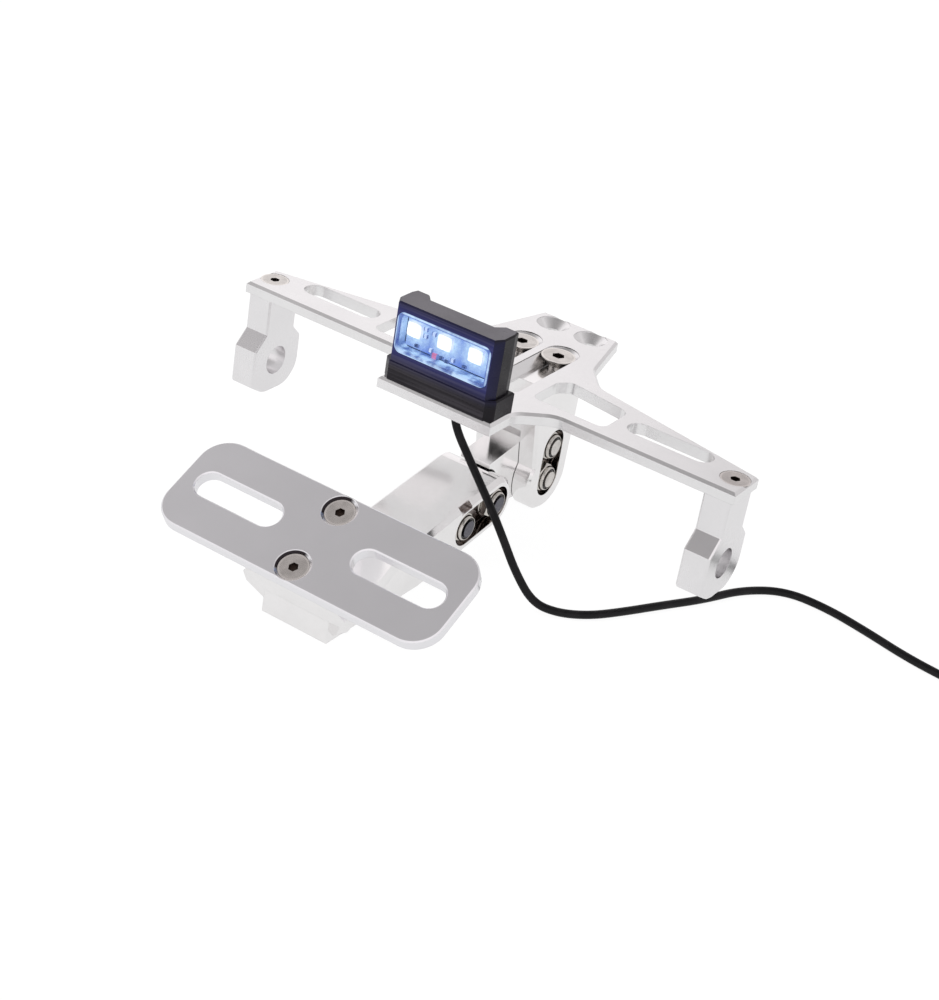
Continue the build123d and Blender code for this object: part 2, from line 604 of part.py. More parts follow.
def carrier():
    plane = carrier_plane()
    face = RectangleRounded(CARRIER_WIDTH, CARRIER_HEIGHT, CARRIER_R)
    body = extrude(face, -CARRIER_T)
    body = chamfer(body.faces().sort_by(Axis.Z)[-1].edges(), CARRIER_CHAMFER)
    for side in (1, -1):
        slot = Pos(side * CARRIER_SLOT_X, 0) * SlotOverall(CARRIER_SLOT_LENGTH, CARRIER_SLOT_WIDTH)
        body -= extrude(Plane.XY.offset(1) * slot, -CARRIER_T - 2)
        mouth = body.faces().sort_by(Axis.Z)[-1].edges().filter_by(
            lambda e, s=side: abs(e.center().X - s * CARRIER_SLOT_X) < CARRIER_SLOT_LENGTH / 2
            and abs(e.center().Y) <= CARRIER_SLOT_WIDTH / 2 + 0.1
        )
        body = chamfer(mouth, CARRIER_CHAMFER)
    for side in (1, -1):
        sink = countersink(SMALL_THREAD, SMALL_HEAD, CARRIER_T + 1)
        throat = SMALL_HEAD / 2 + HEAD_ROOM
        flare = Cone(throat, throat + 2 * CARRIER_SINK, 2 * CARRIER_SINK)
        body -= place(sink, 0, side * CARRIER_SCREW_PITCH / 2, -CARRIER_SINK)
        body -= place(flare, 0, side * CARRIER_SCREW_PITCH / 2, 0)
    add("plate_carrier", plane * body)
    for name, side in (("upper", 1), ("lower", -1)):
        screw = countersunk_screw(SMALL_THREAD, SMALL_HEAD, SMALL_HEX, SMALL_SCREW_LENGTH - 2)
        screw = place(screw, 0, side * CARRIER_SCREW_PITCH / 2, -CARRIER_SINK - HEAD_ROOM)
        add(f"carrier_screw_{name}", plane * screw)


def housing_outline(front_half, front_y, half, corner_y, back_y):
    """Half of the lamp's plan, from its front edge round a cut corner to the back."""
    return [(front_half, front_y), (half, corner_y), (half, back_y)]


def mirrored(half):
    """A closed face in plan from its right half, set on the lamp's own middle line."""
    return Pos(LAMP_X, 0) * make_face(Polyline(*(half + [(-x, y) for x, y in reversed(half)]), close=True))


def lamp():
    base_front = TONGUE_FRONT_Y + BASE_FRONT_SET_BACK
    shape = mirrored(housing_outline(BASE_FRONT_HALF, base_front, BASE_HALF, BASE_CORNER_Y, BASE_BACK_Y))
    base = extrude(Plane.XY.offset(TOP_Z) * shape, BASE_H)
    base = chamfer(base.faces().sort_by(Axis.Z)[-1].edges(), BASE_EDGE)
    floor_z = TOP_Z + BASE_H
    boss_x = [LAMP_X + side * BOSS_SCREW_X for side in (-1, 1)]
    bolt_x = [LAMP_X + side * LAMP_SCREW_X for side in (-1, 1)]
    for x in bolt_x:
        base -= cylinder_z(LAMP_SCREW_R, TOP_Z - 1, TOP_Z + LAMP_SCREW_DEPTH, x, LAMP_SCREW_Y)
    for x in boss_x:
        base -= cylinder_z(BOSS_SCREW_R + HOLE_EASE, TOP_Z - 1, floor_z + 1, x, BOSS_SCREW_Y)
        base -= cylinder_z(BOSS_SCREW_HEAD_R + HOLE_EASE, TOP_Z - 1, TOP_Z + BOSS_SCREW_SINK, x, BOSS_SCREW_Y)
    base -= cylinder_z(GROMMET_R, TOP_Z - 1, floor_z + 1, EXIT_X, EXIT_Y)
    add("lamp_base", base)

    housing_front = base_front + HOUSING_SET_BACK
    half = housing_outline(
        HOUSING_FRONT_HALF, housing_front, HOUSING_HALF, HOUSING_CORNER_Y, HOUSING_BACK_Y
    ) + [(BOSS_OUTER_X, BOSS_BACK_Y), (BOSS_INNER_X + BOSS_SLOPE, BOSS_BACK_Y), (BOSS_INNER_X, HOUSING_BACK_Y)]
    body = extrude(Plane.XY.offset(floor_z) * mirrored(half), LAMP_TOP_Z - floor_z)
    body = chamfer(body.faces().sort_by(Axis.Z)[-1].edges(), HOUSING_EDGE)
    lens_z = LAMP_TOP_Z - LENS_DROP
    cavity_back = HOUSING_BACK_Y - HOUSING_WALL
    cavity_half = LENS_HALF - LENS_RIM
    cavity_h = LENS_H - 2 * LENS_RIM
    cavity = Box(2 * cavity_half, 2 * (cavity_back - housing_front), cavity_h)
    body -= place(cavity, LAMP_X, housing_front, lens_z)
    front = Plane(origin=(LAMP_X, housing_front, lens_z), x_dir=(1, 0, 0), z_dir=(0, -1, 0))
    rebate = RectangleRounded(2 * (LENS_HALF + LENS_FIT), LENS_H + 2 * LENS_FIT, LENS_R)
    body -= extrude(front.offset(1) * rebate, -(LENS_T + 1))
    for x in boss_x:
        body -= cylinder_z(
            BOSS_SCREW_R, floor_z - 1, TOP_Z + BOSS_SCREW_SINK + BOSS_SCREW_LENGTH + HOLE_EASE, x, BOSS_SCREW_Y
        )
    body -= cylinder_z(WIRE_R, floor_z - 1, lens_z, EXIT_X, cavity_back - WIRE_R - HOLE_EASE)
    add("lamp_housing", body)

    lens = extrude(front.offset(-LENS_T) * RectangleRounded(2 * LENS_HALF, LENS_H, LENS_R), LENS_T + LENS_PROUD)
    add("lamp_lens", lens)

    board_front = housing_front + LENS_T + BOARD_SET_BACK
    board = Box(2 * (cavity_half - BOARD_MARGIN), BOARD_T, cavity_h - 2 * BOARD_MARGIN)
    add("lamp_board", place(board, LAMP_X, board_front + BOARD_T / 2, lens_z))
    for name, step in (("left", -1), ("middle", 0), ("right", 1)):
        led = place(
            Box(LED_SIZE, LED_T, LED_SIZE), LAMP_X + step * LED_PITCH, board_front - LED_T / 2, lens_z + LED_RISE
        )
        led = chamfer(led.faces().sort_by(Axis.Y)[0].edges(), LED_T / 3)
        add(f"led_{name}", led)

    for name, boss, bolt in zip(("left", "right"), boss_x, bolt_x):
        seat = TOP_Z + BOSS_SCREW_SINK
        shank = cylinder_z(BOSS_SCREW_R, seat, seat + BOSS_SCREW_LENGTH, boss, BOSS_SCREW_Y)
        head = cylinder_z(BOSS_SCREW_HEAD_R, seat - BOSS_SCREW_HEAD_H, seat, boss, BOSS_SCREW_Y)
        add(f"housing_screw_{name}", shank + head)
        shank = cylinder_z(LAMP_SCREW_R, UNDERSIDE_Z, TOP_Z + LAMP_SCREW_DEPTH - HOLE_EASE, bolt, LAMP_SCREW_Y)
        head = cylinder_z(LAMP_SCREW_HEAD_R, UNDERSIDE_Z - LAMP_SCREW_HEAD_H, UNDERSIDE_Z, bolt, LAMP_SCREW_Y)
        under = Plane(origin=(bolt, LAMP_SCREW_Y, UNDERSIDE_Z - LAMP_SCREW_HEAD_H), z_dir=(0, 0, 1))
        socket = extrude(under * RegularPolygon(LAMP_SCREW_HEX / 2, 6, major_radius=False), LAMP_SCREW_HEX_DEPTH)
        add(f"lamp_screw_{name}", shank + head - socket)


def lead():
    grommet = cylinder_z(GROMMET_R, UNDERSIDE_Z, TOP_Z + BASE_H, EXIT_X, EXIT_Y)
    grommet += cylinder_z(GROMMET_FLANGE_R, UNDERSIDE_Z - GROMMET_FLANGE_H, UNDERSIDE_Z, EXIT_X, EXIT_Y)
    add("cable_grommet", grommet)

    points = [Vector(*p) for p in CABLE_POINTS]
    radii = []
    for before, here, after in zip(points, points[1:], points[2:]):
        turn = (here - before).get_angle(after - here)
        first = 0.92 if before is points[0] else 0.45
        room = min(first * (here - before).length, 0.45 * (after - here).length)
        radii.append(room / math.tan(math.radians(turn / 2)))
    print("lead radii in diameters:", [round(r / CABLE_D, 1) for r in radii])
    path = FilletPolyline(*points, radius=radii)
    start = Plane(origin=path @ 0, z_dir=path % 0)
    tube = sweep(start * Circle(CABLE_D / 2), path=path)
    print("lead tube: length", round(path.length, 1), "volume", round(tube.volume, 1),
          "section x length", round(math.pi * CABLE_D ** 2 / 4 * path.length, 1))
    add("lamp_lead", tube)

    entry = points[-1]
    along = (points[-1] - points[-2]).normalized()
    normal = Vector(-along.Y, along.X, 0)
    half_w = COIL_WIDE * CABLE_D / 2
    outer_r = COIL_MID_R + half_w - CABLE_D / 2
    height = COIL_HIGH * CABLE_D
    middle = entry + along * (COIL_X - entry.X) + normal * outer_r
    coil = extrude(Circle(COIL_MID_R + half_w) - Circle(COIL_MID_R - half_w), height)
    coil = fillet(coil.edges(), CABLE_D / 2.2)
    coil = place(coil, middle.X, middle.Y, 0)
    lead_in = Plane(origin=entry, z_dir=along)
    coil += extrude(lead_in * Circle(CABLE_D / 2), COIL_X - entry.X)
    out_start = middle + along * outer_r
    out_start = Vector(out_start.X, out_start.Y, height - CABLE_D / 2)
    out_end = out_start + normal * TAIL_LENGTH
    out_end = Vector(out_end.X, out_end.Y, CABLE_D / 2)
    run = out_end - out_start
    coil += extrude(Plane(origin=out_start, z_dir=run.normalized()) * Circle(CABLE_D / 2), run.length)

    tie_plane = Plane(origin=(middle.X, middle.Y, 0), x_dir=normal, z_dir=(0, 0, 1))
    outside = Box(2 * (half_w + TIE_T), TIE_WIDTH, height + TIE_T, align=(Align.CENTER, Align.CENTER, Align.MIN))
    inside = Box(2 * half_w, 2 * TIE_WIDTH, height - TIE_T, align=(Align.CENTER, Align.CENTER, Align.MIN))
    head = Box(TIE_HEAD, TIE_HEAD, TIE_HEAD, align=(Align.MIN, Align.CENTER, Align.MIN))
    tie = outside - place(inside, 0, 0, TIE_T) + place(head, half_w + TIE_T / 2, 0, 0)
    tie = tie_plane * Pos(COIL_MID_R, 0, 0) * tie
    add("lead_coil", coil - tie)
    add("coil_tie", tie)
    plug_plane = Plane(origin=(out_end.X, out_end.Y, CONNECTOR_HEIGHT / 2), x_dir=along, z_dir=normal)
    plug = extrude(plug_plane * RectangleRounded(CONNECTOR_WIDTH, CONNECTOR_HEIGHT, CONNECTOR_R), CONNECTOR_LENGTH)
    plug -= extrude(Plane(origin=out_start, z_dir=run.normalized()) * Circle(CABLE_D / 2), run.length)
    add("lead_connector", plug)
    print("coil middle:", round(middle.X, 1), round(middle.Y, 1), "tail end:", round(out_end.X, 1),
          round(out_end.Y, 1), "coiled length", round(COIL_TURNS * 2 * math.pi * COIL_MID_R))


top_plate()
signal_brackets()
hinge_block()
link()
arm()
carrier()
lamp()
lead()

for name, solid in parts.items():
    export_step(solid, f"parts/{name}.step")
    print(name, round(solid.volume, 1))
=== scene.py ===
"""Looks of the license plate frame: its lead, lamp light, lock nuts, finishes, floor and light."""

import json
import math

import bmesh
import bpy
from mathutils import Matrix, Vector


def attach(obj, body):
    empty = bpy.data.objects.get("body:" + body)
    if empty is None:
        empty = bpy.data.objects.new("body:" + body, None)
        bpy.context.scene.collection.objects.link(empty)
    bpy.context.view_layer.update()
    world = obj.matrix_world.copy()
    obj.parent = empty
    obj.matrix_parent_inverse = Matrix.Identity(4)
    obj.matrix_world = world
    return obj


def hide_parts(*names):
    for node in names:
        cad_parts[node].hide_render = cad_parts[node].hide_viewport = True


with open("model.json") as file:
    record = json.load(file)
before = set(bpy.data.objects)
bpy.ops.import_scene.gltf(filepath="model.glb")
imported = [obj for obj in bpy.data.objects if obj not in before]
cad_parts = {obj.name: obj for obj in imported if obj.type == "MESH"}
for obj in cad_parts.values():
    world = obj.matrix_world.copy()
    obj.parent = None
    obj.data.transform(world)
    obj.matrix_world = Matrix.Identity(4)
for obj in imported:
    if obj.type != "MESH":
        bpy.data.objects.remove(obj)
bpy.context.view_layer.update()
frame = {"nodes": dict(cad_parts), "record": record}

MM = 0.001
BODY = "frame"


# Camera

CAMERA_AT = (296.9, -506.0, 345.5)
CAMERA_AZIMUTH = 29.222
CAMERA_ELEVATION = 28.982
CAMERA_ROLL = 9.912
FOCAL_PIXELS = 2006.0
PICTURE_LONG_SIDE = 1000.0
SENSOR = 36.0
CLIP = (0.05, 20.0)


def make_camera():
    """The camera stands to the right of the lamp, looks down on it and is rolled with the part's lean."""
    azimuth, elevation, roll = (math.radians(a) for a in (CAMERA_AZIMUTH, CAMERA_ELEVATION, CAMERA_ROLL))
    forward = Vector((
        -math.sin(azimuth) * math.cos(elevation),
        math.cos(azimuth) * math.cos(elevation),
        -math.sin(elevation),
    ))
    level = forward.cross(Vector((0, 0, 1))).normalized()
    rise = level.cross(forward)
    right = level * math.cos(roll) + rise * math.sin(roll)
    up = right.cross(forward)
    data = bpy.data.cameras.new("camera")
    data.sensor_width = SENSOR
    data.lens = SENSOR * FOCAL_PIXELS / PICTURE_LONG_SIDE
    data.clip_start, data.clip_end = CLIP
    camera = bpy.data.objects.new("camera", data)
    bpy.context.scene.collection.objects.link(camera)
    turn = Matrix((right, up, -forward)).transposed().to_4x4()
    camera.matrix_world = Matrix.Translation(Vector(CAMERA_AT) * MM) @ turn
    bpy.context.scene.camera = camera


make_camera()


# Shader and Geometry Nodes written as expressions

class Value:
    """One output socket. Sums and products with it add Math nodes to its tree."""

    def __init__(self, maker, socket):
        self.maker = maker
        self.socket = socket

    def _math(self, operation, a, b):
        return self.maker.node("ShaderNodeMath", {"operation": operation}, {0: a, 1: b})[0]

    def __add__(self, other):
        return self._math("ADD", self, other)

    def __sub__(self, other):
        return self._math("SUBTRACT", self, other)

    def __rsub__(self, other):
        return self._math("SUBTRACT", other, self)

    def __mul__(self, other):
        return self._math("MULTIPLY", self, other)

    def __truediv__(self, other):
        return self._math("DIVIDE", self, other)

    def __pow__(self, other):
        return self._math("POWER", self, other)

    __radd__ = __add__

    def high(self, other):
        return self._math("MAXIMUM", self, other)

    def low(self, other):
        return self._math("MINIMUM", self, other)

    def size(self):
        return self._math("ABSOLUTE", self, 0.0)


class Node:
    """A node that gives its outputs by name or number."""

    def __init__(self, maker, node):
        self.maker = maker
        self.node = node

    def __getitem__(self, key):
        return Value(self.maker, self.node.outputs[key])


class Maker:
    """Adds nodes to one tree: settings first, then the values or links of the sockets."""

    def __init__(self, tree):
        self.tree = tree
        self.tree.nodes.clear()

    def node(self, kind, settings=None, sockets=None):
        made = self.tree.nodes.new(kind)
        for key, value in (settings or {}).items():
            setattr(made, key, value)
        for key, value in (sockets or {}).items():
            if isinstance(value, Value):
                self.tree.links.new(value.socket, made.inputs[key])
            else:
                made.inputs[key].default_value = value
        return Node(self, made)


class Shade(Maker):
    """A material whose colour, roughness and bump come from nodes."""

    def __init__(self, name):
        self.material = bpy.data.materials.new(name)
        self.material.use_nodes = True
        super().__init__(self.material.node_tree)
        self.place = self.node("ShaderNodeTexCoord")["Object"]

    def mapped(self, scale):
        return self.node("ShaderNodeMapping", None, {"Vector": self.place, "Scale": scale})[0]

    def axes(self, vector=None):
        parts = self.node("ShaderNodeSeparateXYZ", None, {0: vector or self.place})
        return parts[0], parts[1], parts[2]

    def noise(self, vector, scale, detail, rough):
        return self.node(
            "ShaderNodeTexNoise", None,
            {"Vector": vector, "Scale": scale, "Detail": detail, "Roughness": rough},
        )["Fac"]

    def spread(self, value, low, high, to_low=0.0, to_high=1.0):
        """to_low for values up to low, to_high for values from high on, and between them in proportion."""
        return self.node(
            "ShaderNodeMapRange", None,
            {"Value": value, "From Min": low, "From Max": high, "To Min": to_low, "To Max": to_high},
        )[0]

    def blend(self, share, a, b):
        return self.node("ShaderNodeMix", {"data_type": "RGBA"}, {0: share, 6: a, 7: b})[2]

    def bump(self, height, distance, strength, edge=0.0):
        """A bump from height; edge also rounds the shading of sharp edges, by that radius."""
        sockets = {"Height": height, "Distance": distance, "Strength": strength}
        if edge:
            sockets["Normal"] = self.node("ShaderNodeBevel", {"samples": 4}, {"Radius": edge})[0]
        return self.node("ShaderNodeBump", None, sockets)[0]

    def facing(self):
        """The surface's own direction, as three values."""
        return self.axes(self.node("ShaderNodeNewGeometry")["Normal"])

    def finish(self, **sockets):
        names = {key.replace("_", " "): value for key, value in sockets.items()}
        shader = self.node("ShaderNodeBsdfPrincipled", None, names)[0]
        self.node("ShaderNodeOutputMaterial", None, {"Surface": shader})
        return self.material


def rgb(r, g, b):
    return (r, g, b, 1.0)


def lighter(colour, factor):
    """A colour made lighter, or darker where the factor is below 1."""
    return rgb(*(min(1.0, c * factor) for c in colour))


# Places and sizes that finishes and shapes share

UP = Vector((0, 0, 1))
CARRIER_TILT = math.radians(27.0)
CARRIER_AXIS = Vector((0, -math.sin(CARRIER_TILT), math.cos(CARRIER_TILT)))

# Screw heads: radius, and hexagon across flats, in millimetres
M5_HEAD = (5.0, 3.0)
M6_HEAD = (6.0, 4.0)

# Mouths round the carrier's heads, in millimetres, and the side of them on which a dark reflection is painted
MOUTH_R = 6.3
MOUTH_DEPTH = 0.84
MOUTH_SHADE = Vector((-0.849, 0.471, 0.240))

# Lock nuts in the right-hand pockets of the block and the arm, in millimetres and degrees
FORK_HALF_W = 12.75
POCKET_DEPTH = 4.2
POCKET_R = 7.0
NUT_X = FORK_HALF_W - POCKET_DEPTH
UPPER_PIVOT = (NUT_X, 55.0, 24.4)
UPPER_SPACING, UPPER_SLOPE = 12.9, 90.0
LOWER_PIVOT = (NUT_X, 21.2, 14.1)
LOWER_SPACING, LOWER_SLOPE = 18.0, 8.0


def down_slope(place, distance, slope):
    """The point at a distance forward and down from a place."""
    x, y, z = place
    return (x, y - distance * math.cos(math.radians(slope)), z - distance * math.sin(math.radians(slope)))


UPPER_CLAMP = down_slope(UPPER_PIVOT, UPPER_SPACING, UPPER_SLOPE)
LOWER_CLAMP = down_slope(LOWER_PIVOT, LOWER_SPACING, LOWER_SLOPE)

# Lamp, in metres
LAMP_X = -1.6 * MM
LAMP_TOP = 86.0 * MM
LENS_Z = LAMP_TOP - 10.3 * MM
LENS_HALF_W = 18.1 * MM
LENS_HALF_H = 7.15 * MM
LED_X = LAMP_X - 1.2 * MM
LED_PITCH = 12.0 * MM
LED_Z = LENS_Z + 1.0 * MM
LED_STEPS = (-1, 0, 1)


# Finishes

# Painted dark reflection on one side of the carrier's screw mouths
MOUTH_PAINTED_REFLECTION = rgb(0.03, 0.025, 0.028)
# Painted shade on the walls and floors of the nut pockets
POCKET_PAINTED_SHADE = rgb(0.13, 0.10, 0.09)
# Painted shade in the screws' hex sockets
SOCKET_PAINTED_SHADE = rgb(0.2, 0.165, 0.15)
# Painted shade on the bolt ends that sit deep in the arm's lock nuts
THREAD_PAINTED_SHADE = rgb(0.05, 0.05, 0.075)
UNLIT = rgb(0.05, 0.05, 0.06)
GREY_STEEL = (0.72, 0.69, 0.66)
WARM_STEEL = (0.74, 0.7, 0.67)


def nut_pocket(shade, pivot, spacing, slope):
    """1 on the walls and floor of the long pocket round a pivot's nut and the next nut down the slope."""
    x, y, z = shade.axes()
    _, middle_y, middle_z = down_slope(pivot, spacing / 2, slope)
    along_y, along_z = math.cos(math.radians(slope)), math.sin(math.radians(slope))
    off_y, off_z = y - middle_y * MM, z - middle_z * MM
    lengthways = ((off_y * along_y + off_z * along_z).size() - spacing / 2 * MM).high(0.0)
    across = off_z * along_y - off_y * along_z
    reach = (lengthways * lengthways + across * across) ** 0.5
    above_floor = shade.spread(x, (NUT_X - 0.65) * MM, (NUT_X - 0.35) * MM)
    below_face = shade.spread(x, (FORK_HALF_W - 0.35) * MM, (FORK_HALF_W - 0.1) * MM, 1.0, 0.0)
    return above_floor * below_face * shade.spread(reach, POCKET_R * MM, (POCKET_R + 0.3) * MM, 1.0, 0.0)


def machined(name, colour, rough, grain, depth=0.003, mottle=0.03, mouths=(), pockets=()):
    """Cut metal: grain along one direction, faint clouds, a painted dark reflection in screw mouths and
    painted shade in nut pockets.
    """
    shade = Shade(name)
    lines = shade.noise(shade.mapped(grain), 2600.0, 3.0, 0.6)
    clouds = shade.noise(shade.place, 60.0, 3.0, 0.5)
    marks = shade.noise(shade.place, 700.0, 3.0, 0.6)
    patches = shade.spread(clouds * 0.7 + marks * 0.3, 0.35, 0.65)
    tone = shade.blend(patches, lighter(colour, 1 - mottle * 2), rgb(*colour))
    # A dark reflection painted on one side of each screw mouth
    for node in mouths:
        out, below, side = from_head(shade, node, CARRIER_AXIS, MOUTH_SHADE)
        inside = shade.spread(out, MOUTH_R * MM, (MOUTH_R + 0.3) * MM, 1.0, 0.0)
        sunk = shade.spread(below, -MOUTH_DEPTH * MM, (0.14 - MOUTH_DEPTH) * MM)
        share = inside * sunk * shade.spread(side, 0.1, 0.45)
        tone = shade.blend(share, tone, MOUTH_PAINTED_REFLECTION)
    # Painted shade darkens the walls and floors of the nut pockets
    for pocket in pockets:
        painted_shade = nut_pocket(shade, *pocket) * shade.spread(marks, 0.3, 0.6, 0.75, 1.0)
        tone = shade.blend(painted_shade, tone, POCKET_PAINTED_SHADE)
    roughness = shade.spread(lines * 0.5 + clouds * 0.5, 0.3, 0.7, rough * 0.85, rough * 1.2)
    return shade.finish(
        Base_Color=tone, Metallic=1.0, Roughness=roughness,
        Normal=shade.bump(lines, depth * MM, 0.5, 0.22 * MM),
    )


def stained(shade, colour, factor):
    """A metal's colour, darker by a factor in small patches."""
    stain = shade.noise(shade.place, 300.0, 3.0, 0.5)
    return shade.blend(shade.spread(stain, 0.35, 0.65), lighter(colour, factor), rgb(*colour))


def pitted_steel(shade, tone, rough, pits=None):
    """Stainless of a given tone, with tiny pits that also vary its roughness."""
    pits = pits or shade.noise(shade.place, 2400.0, 4.0, 0.6)
    return shade.finish(
        Base_Color=tone, Metallic=1.0, Roughness=shade.spread(pits, 0.3, 0.7, rough * 0.7, rough * 1.3),
        Normal=shade.bump(pits, 0.008 * MM, 0.6),
    )


def turned_steel(name, colour, rough):
    """Plain stainless whose warm grey varies a little."""
    shade = Shade(name)
    return pitted_steel(shade, stained(shade, colour, 0.78), rough)


def head_middle(node, axis):
    """The middle of a screw's flat head: the middle of its farthest corners along the axis."""
    corners = [corner.co for corner in frame["nodes"][node].data.vertices]
    top = max(corner.dot(axis) for corner in corners)
    face = [corner for corner in corners if top - corner.dot(axis) < 0.01 * MM]
    return Vector([(min(c[i] for c in face) + max(c[i] for c in face)) / 2 for i in range(3)])


def from_head(shade, node, axis, towards=None):
    """How far a point lies out from a screw's axis and below its head, and how much to one side."""
    middle = head_middle(node, axis)
    offset = shade.node("ShaderNodeVectorMath", {"operation": "SUBTRACT"}, {0: shade.place, 1: middle})[0]
    x, y, z = shade.axes(offset)
    below = 0 - (x * axis.x + y * axis.y + z * axis.z)
    out = (x * x + y * y + z * z - below * below).high(0.0) ** 0.5
    side = (x * towards.x + y * towards.y + z * towards.z) / out if towards else None
    return out, below, side


def socket_screw(node, axis, colour, rough, head_radius, hexagon):
    """Plain stainless with painted shade in its socket and a painted highlight round its edge; sizes in
    millimetres.
    """
    shade = Shade(node + "_stainless")
    out, below, _ = from_head(shade, node, axis)
    # Painted shade fills the hex socket below the head's face
    in_hexagon = shade.spread(out, hexagon * 0.62 * MM, hexagon * 0.68 * MM, 1.0, 0.0)
    socket = shade.spread(below, 0.05 * MM, 0.5 * MM) * in_hexagon
    # A painted highlight: a brighter ring round the head's edge
    edge = shade.spread(out, (head_radius - 0.65) * MM, (head_radius - 0.5) * MM)
    tone = shade.blend(edge * 0.6, stained(shade, colour, 0.8), lighter(colour, 1.3))
    return pitted_steel(shade, shade.blend(socket, tone, SOCKET_PAINTED_SHADE), rough)


def bolt_end_steel(name, colour, rough):
    """A bolt whose threaded end, on the nut's side, is darkened by painted shade where it sits deep in the
    nut.
    """
    shade = Shade(name)
    pits = shade.noise(shade.place, 1800.0, 4.0, 0.6)
    # Painted shade darkens the threaded end, on the nut's side
    painted_shade = shade.spread(shade.axes()[0], 6.0 * MM, 8.0 * MM) * shade.spread(pits, 0.3, 0.7, 0.85, 1.0)
    return pitted_steel(shade, shade.blend(painted_shade, rgb(*colour), THREAD_PAINTED_SHADE), rough, pits)


def past_lens_edge(shade):
    """How far outside the lens's outline a point lies, below 0 inside it."""
    x, _, z = shade.axes()
    return ((x - LAMP_X).size() - LENS_HALF_W).high((z - LENS_Z).size() - LENS_HALF_H)


def lamp_plastic():
    """Black moulded plastic: level flow lines, a lighter grey top and a blue glow from the lit lens beside
    it.
    """
    shade = Shade("black_lamp_plastic")
    _, north, up = shade.facing()
    level = shade.mapped((0.02, 0.02, 1.0))
    streak = shade.noise(level, 2400.0, 3.0, 0.7)
    flow = shade.noise(level, 1000.0, 2.0, 0.5)
    skin = shade.noise(shade.place, 1500.0, 4.0, 0.6)
    scuff = shade.noise(shade.place, 90.0, 4.0, 0.6)
    body = shade.blend(shade.spread(scuff, 0.4, 0.7), rgb(0.005, 0.004, 0.007), rgb(0.011, 0.009, 0.013))
    to_front = shade.spread(north, -0.95, -0.8, 1.0, 0.0)
    body = shade.blend(to_front * shade.spread(flow, 0.4, 0.62, 0.15, 1.0), body, rgb(0.042, 0.038, 0.046))
    # The faces that look up near the very top are made lighter grey, in patches
    near_top = shade.spread(shade.axes()[2], LAMP_TOP - 1.6 * MM, LAMP_TOP - 0.6 * MM)
    lighter_top = shade.spread(up, 0.7, 0.95) * near_top
    tone = shade.blend(lighter_top * shade.spread(scuff, 0.3, 0.7, 0.8, 1.0), body, rgb(0.165, 0.158, 0.178))
    beside = shade.spread(past_lens_edge(shade), 0.0, 6.5 * MM, 1.0, 0.0)
    glow = beside ** 1.6 * shade.spread(north, -0.9, -0.2, 1.0, 0.0)
    return shade.finish(
        Base_Color=tone, Roughness=shade.spread(streak * 0.6 + skin * 0.4, 0.3, 0.7, 0.2, 0.44),
        Specular_IOR_Level=0.2,
        Emission_Color=shade.blend(glow, rgb(0, 0, 0), rgb(0.012, 0.016, 0.11)), Emission_Strength=1.0,
        Normal=shade.bump(streak * 1.4 + skin * 0.6, 0.03 * MM, 0.5, 0.2 * MM),
    )


def lead_sheath():
    """Black, slightly shiny sheath with a little dust."""
    shade = Shade("black_lead_sheath")
    skin = shade.noise(shade.place, 3000.0, 3.0, 0.5)
    dust = shade.noise(shade.place, 220.0, 3.0, 0.5)
    tone = shade.blend(shade.spread(dust, 0.45, 0.75), rgb(0.003, 0.003, 0.004), rgb(0.010, 0.009, 0.010))
    return shade.finish(
        Base_Color=tone, Roughness=shade.spread(skin, 0.3, 0.7, 0.3, 0.46), Specular_IOR_Level=0.22,
        Normal=shade.bump(skin, 0.02 * MM, 0.4),
    )


def moulded(name, colour, rough):
    """Small plain mouldings: a fine skin, and dust that lightens the colour in patches."""
    shade = Shade(name)
    skin = shade.noise(shade.place, 2600.0, 3.0, 0.5)
    dust = shade.noise(shade.place, 300.0, 3.0, 0.6)
    tone = shade.blend(shade.spread(dust, 0.45, 0.75), rgb(*colour), lighter(colour, 1.9))
    return shade.finish(
        Base_Color=tone, Roughness=shade.spread(dust, 0.3, 0.7, rough * 0.8, rough * 1.2),
        Normal=shade.bump(skin, 0.02 * MM, 0.4),
    )


def near_lights(shade, reach, start=2.6 * MM):
    """1 as far as start from a light's middle and 0 from reach on, on the board's own plane."""
    x, _, z = shade.axes()
    nearest = None
    for step in LED_STEPS:
        off_x, off_z = x - (LED_X + step * LED_PITCH), z - LED_Z
        gap = (off_x * off_x + off_z * off_z) ** 0.5
        nearest = gap if nearest is None else nearest.low(gap)
    return shade.spread(nearest, start, reach, 1.0, 0.0)


def low_patches(shade):
    """Bright patches along the lower edge of the lens, where its light gathers."""
    patch = shade.noise(shade.place, 230.0, 2.0, 0.5)
    above_edge = shade.axes()[2] - LENS_Z + LENS_HALF_H
    return shade.spread(above_edge, 1.4 * MM, 2.2 * MM, 1.0, 0.0) * shade.spread(patch, 0.4, 0.6)


def lit_by_lamp(name, deep, pale, reach, rough=0.45, patches=0.0):
    """A surface inside the lamp: deep blue away from the lights and pale beside them."""
    shade = Shade(name)
    ripple = shade.noise(shade.place, 650.0, 3.0, 0.6)
    grain = shade.noise(shade.place, 1800.0, 2.0, 0.5)
    near = near_lights(shade, reach)
    share = near * 0.75 + shade.spread(ripple, 0.4, 0.75, 0.0, 0.35) * (near + 0.35)
    share = share + low_patches(shade) * patches
    return shade.finish(
        Base_Color=shade.blend(ripple, rgb(0.02, 0.025, 0.05), rgb(0.04, 0.05, 0.09)), Roughness=rough,
        Emission_Color=shade.blend(share, rgb(*deep), rgb(*pale)), Emission_Strength=1.0,
        Normal=shade.bump(grain, 0.02 * MM, 0.4),
    )


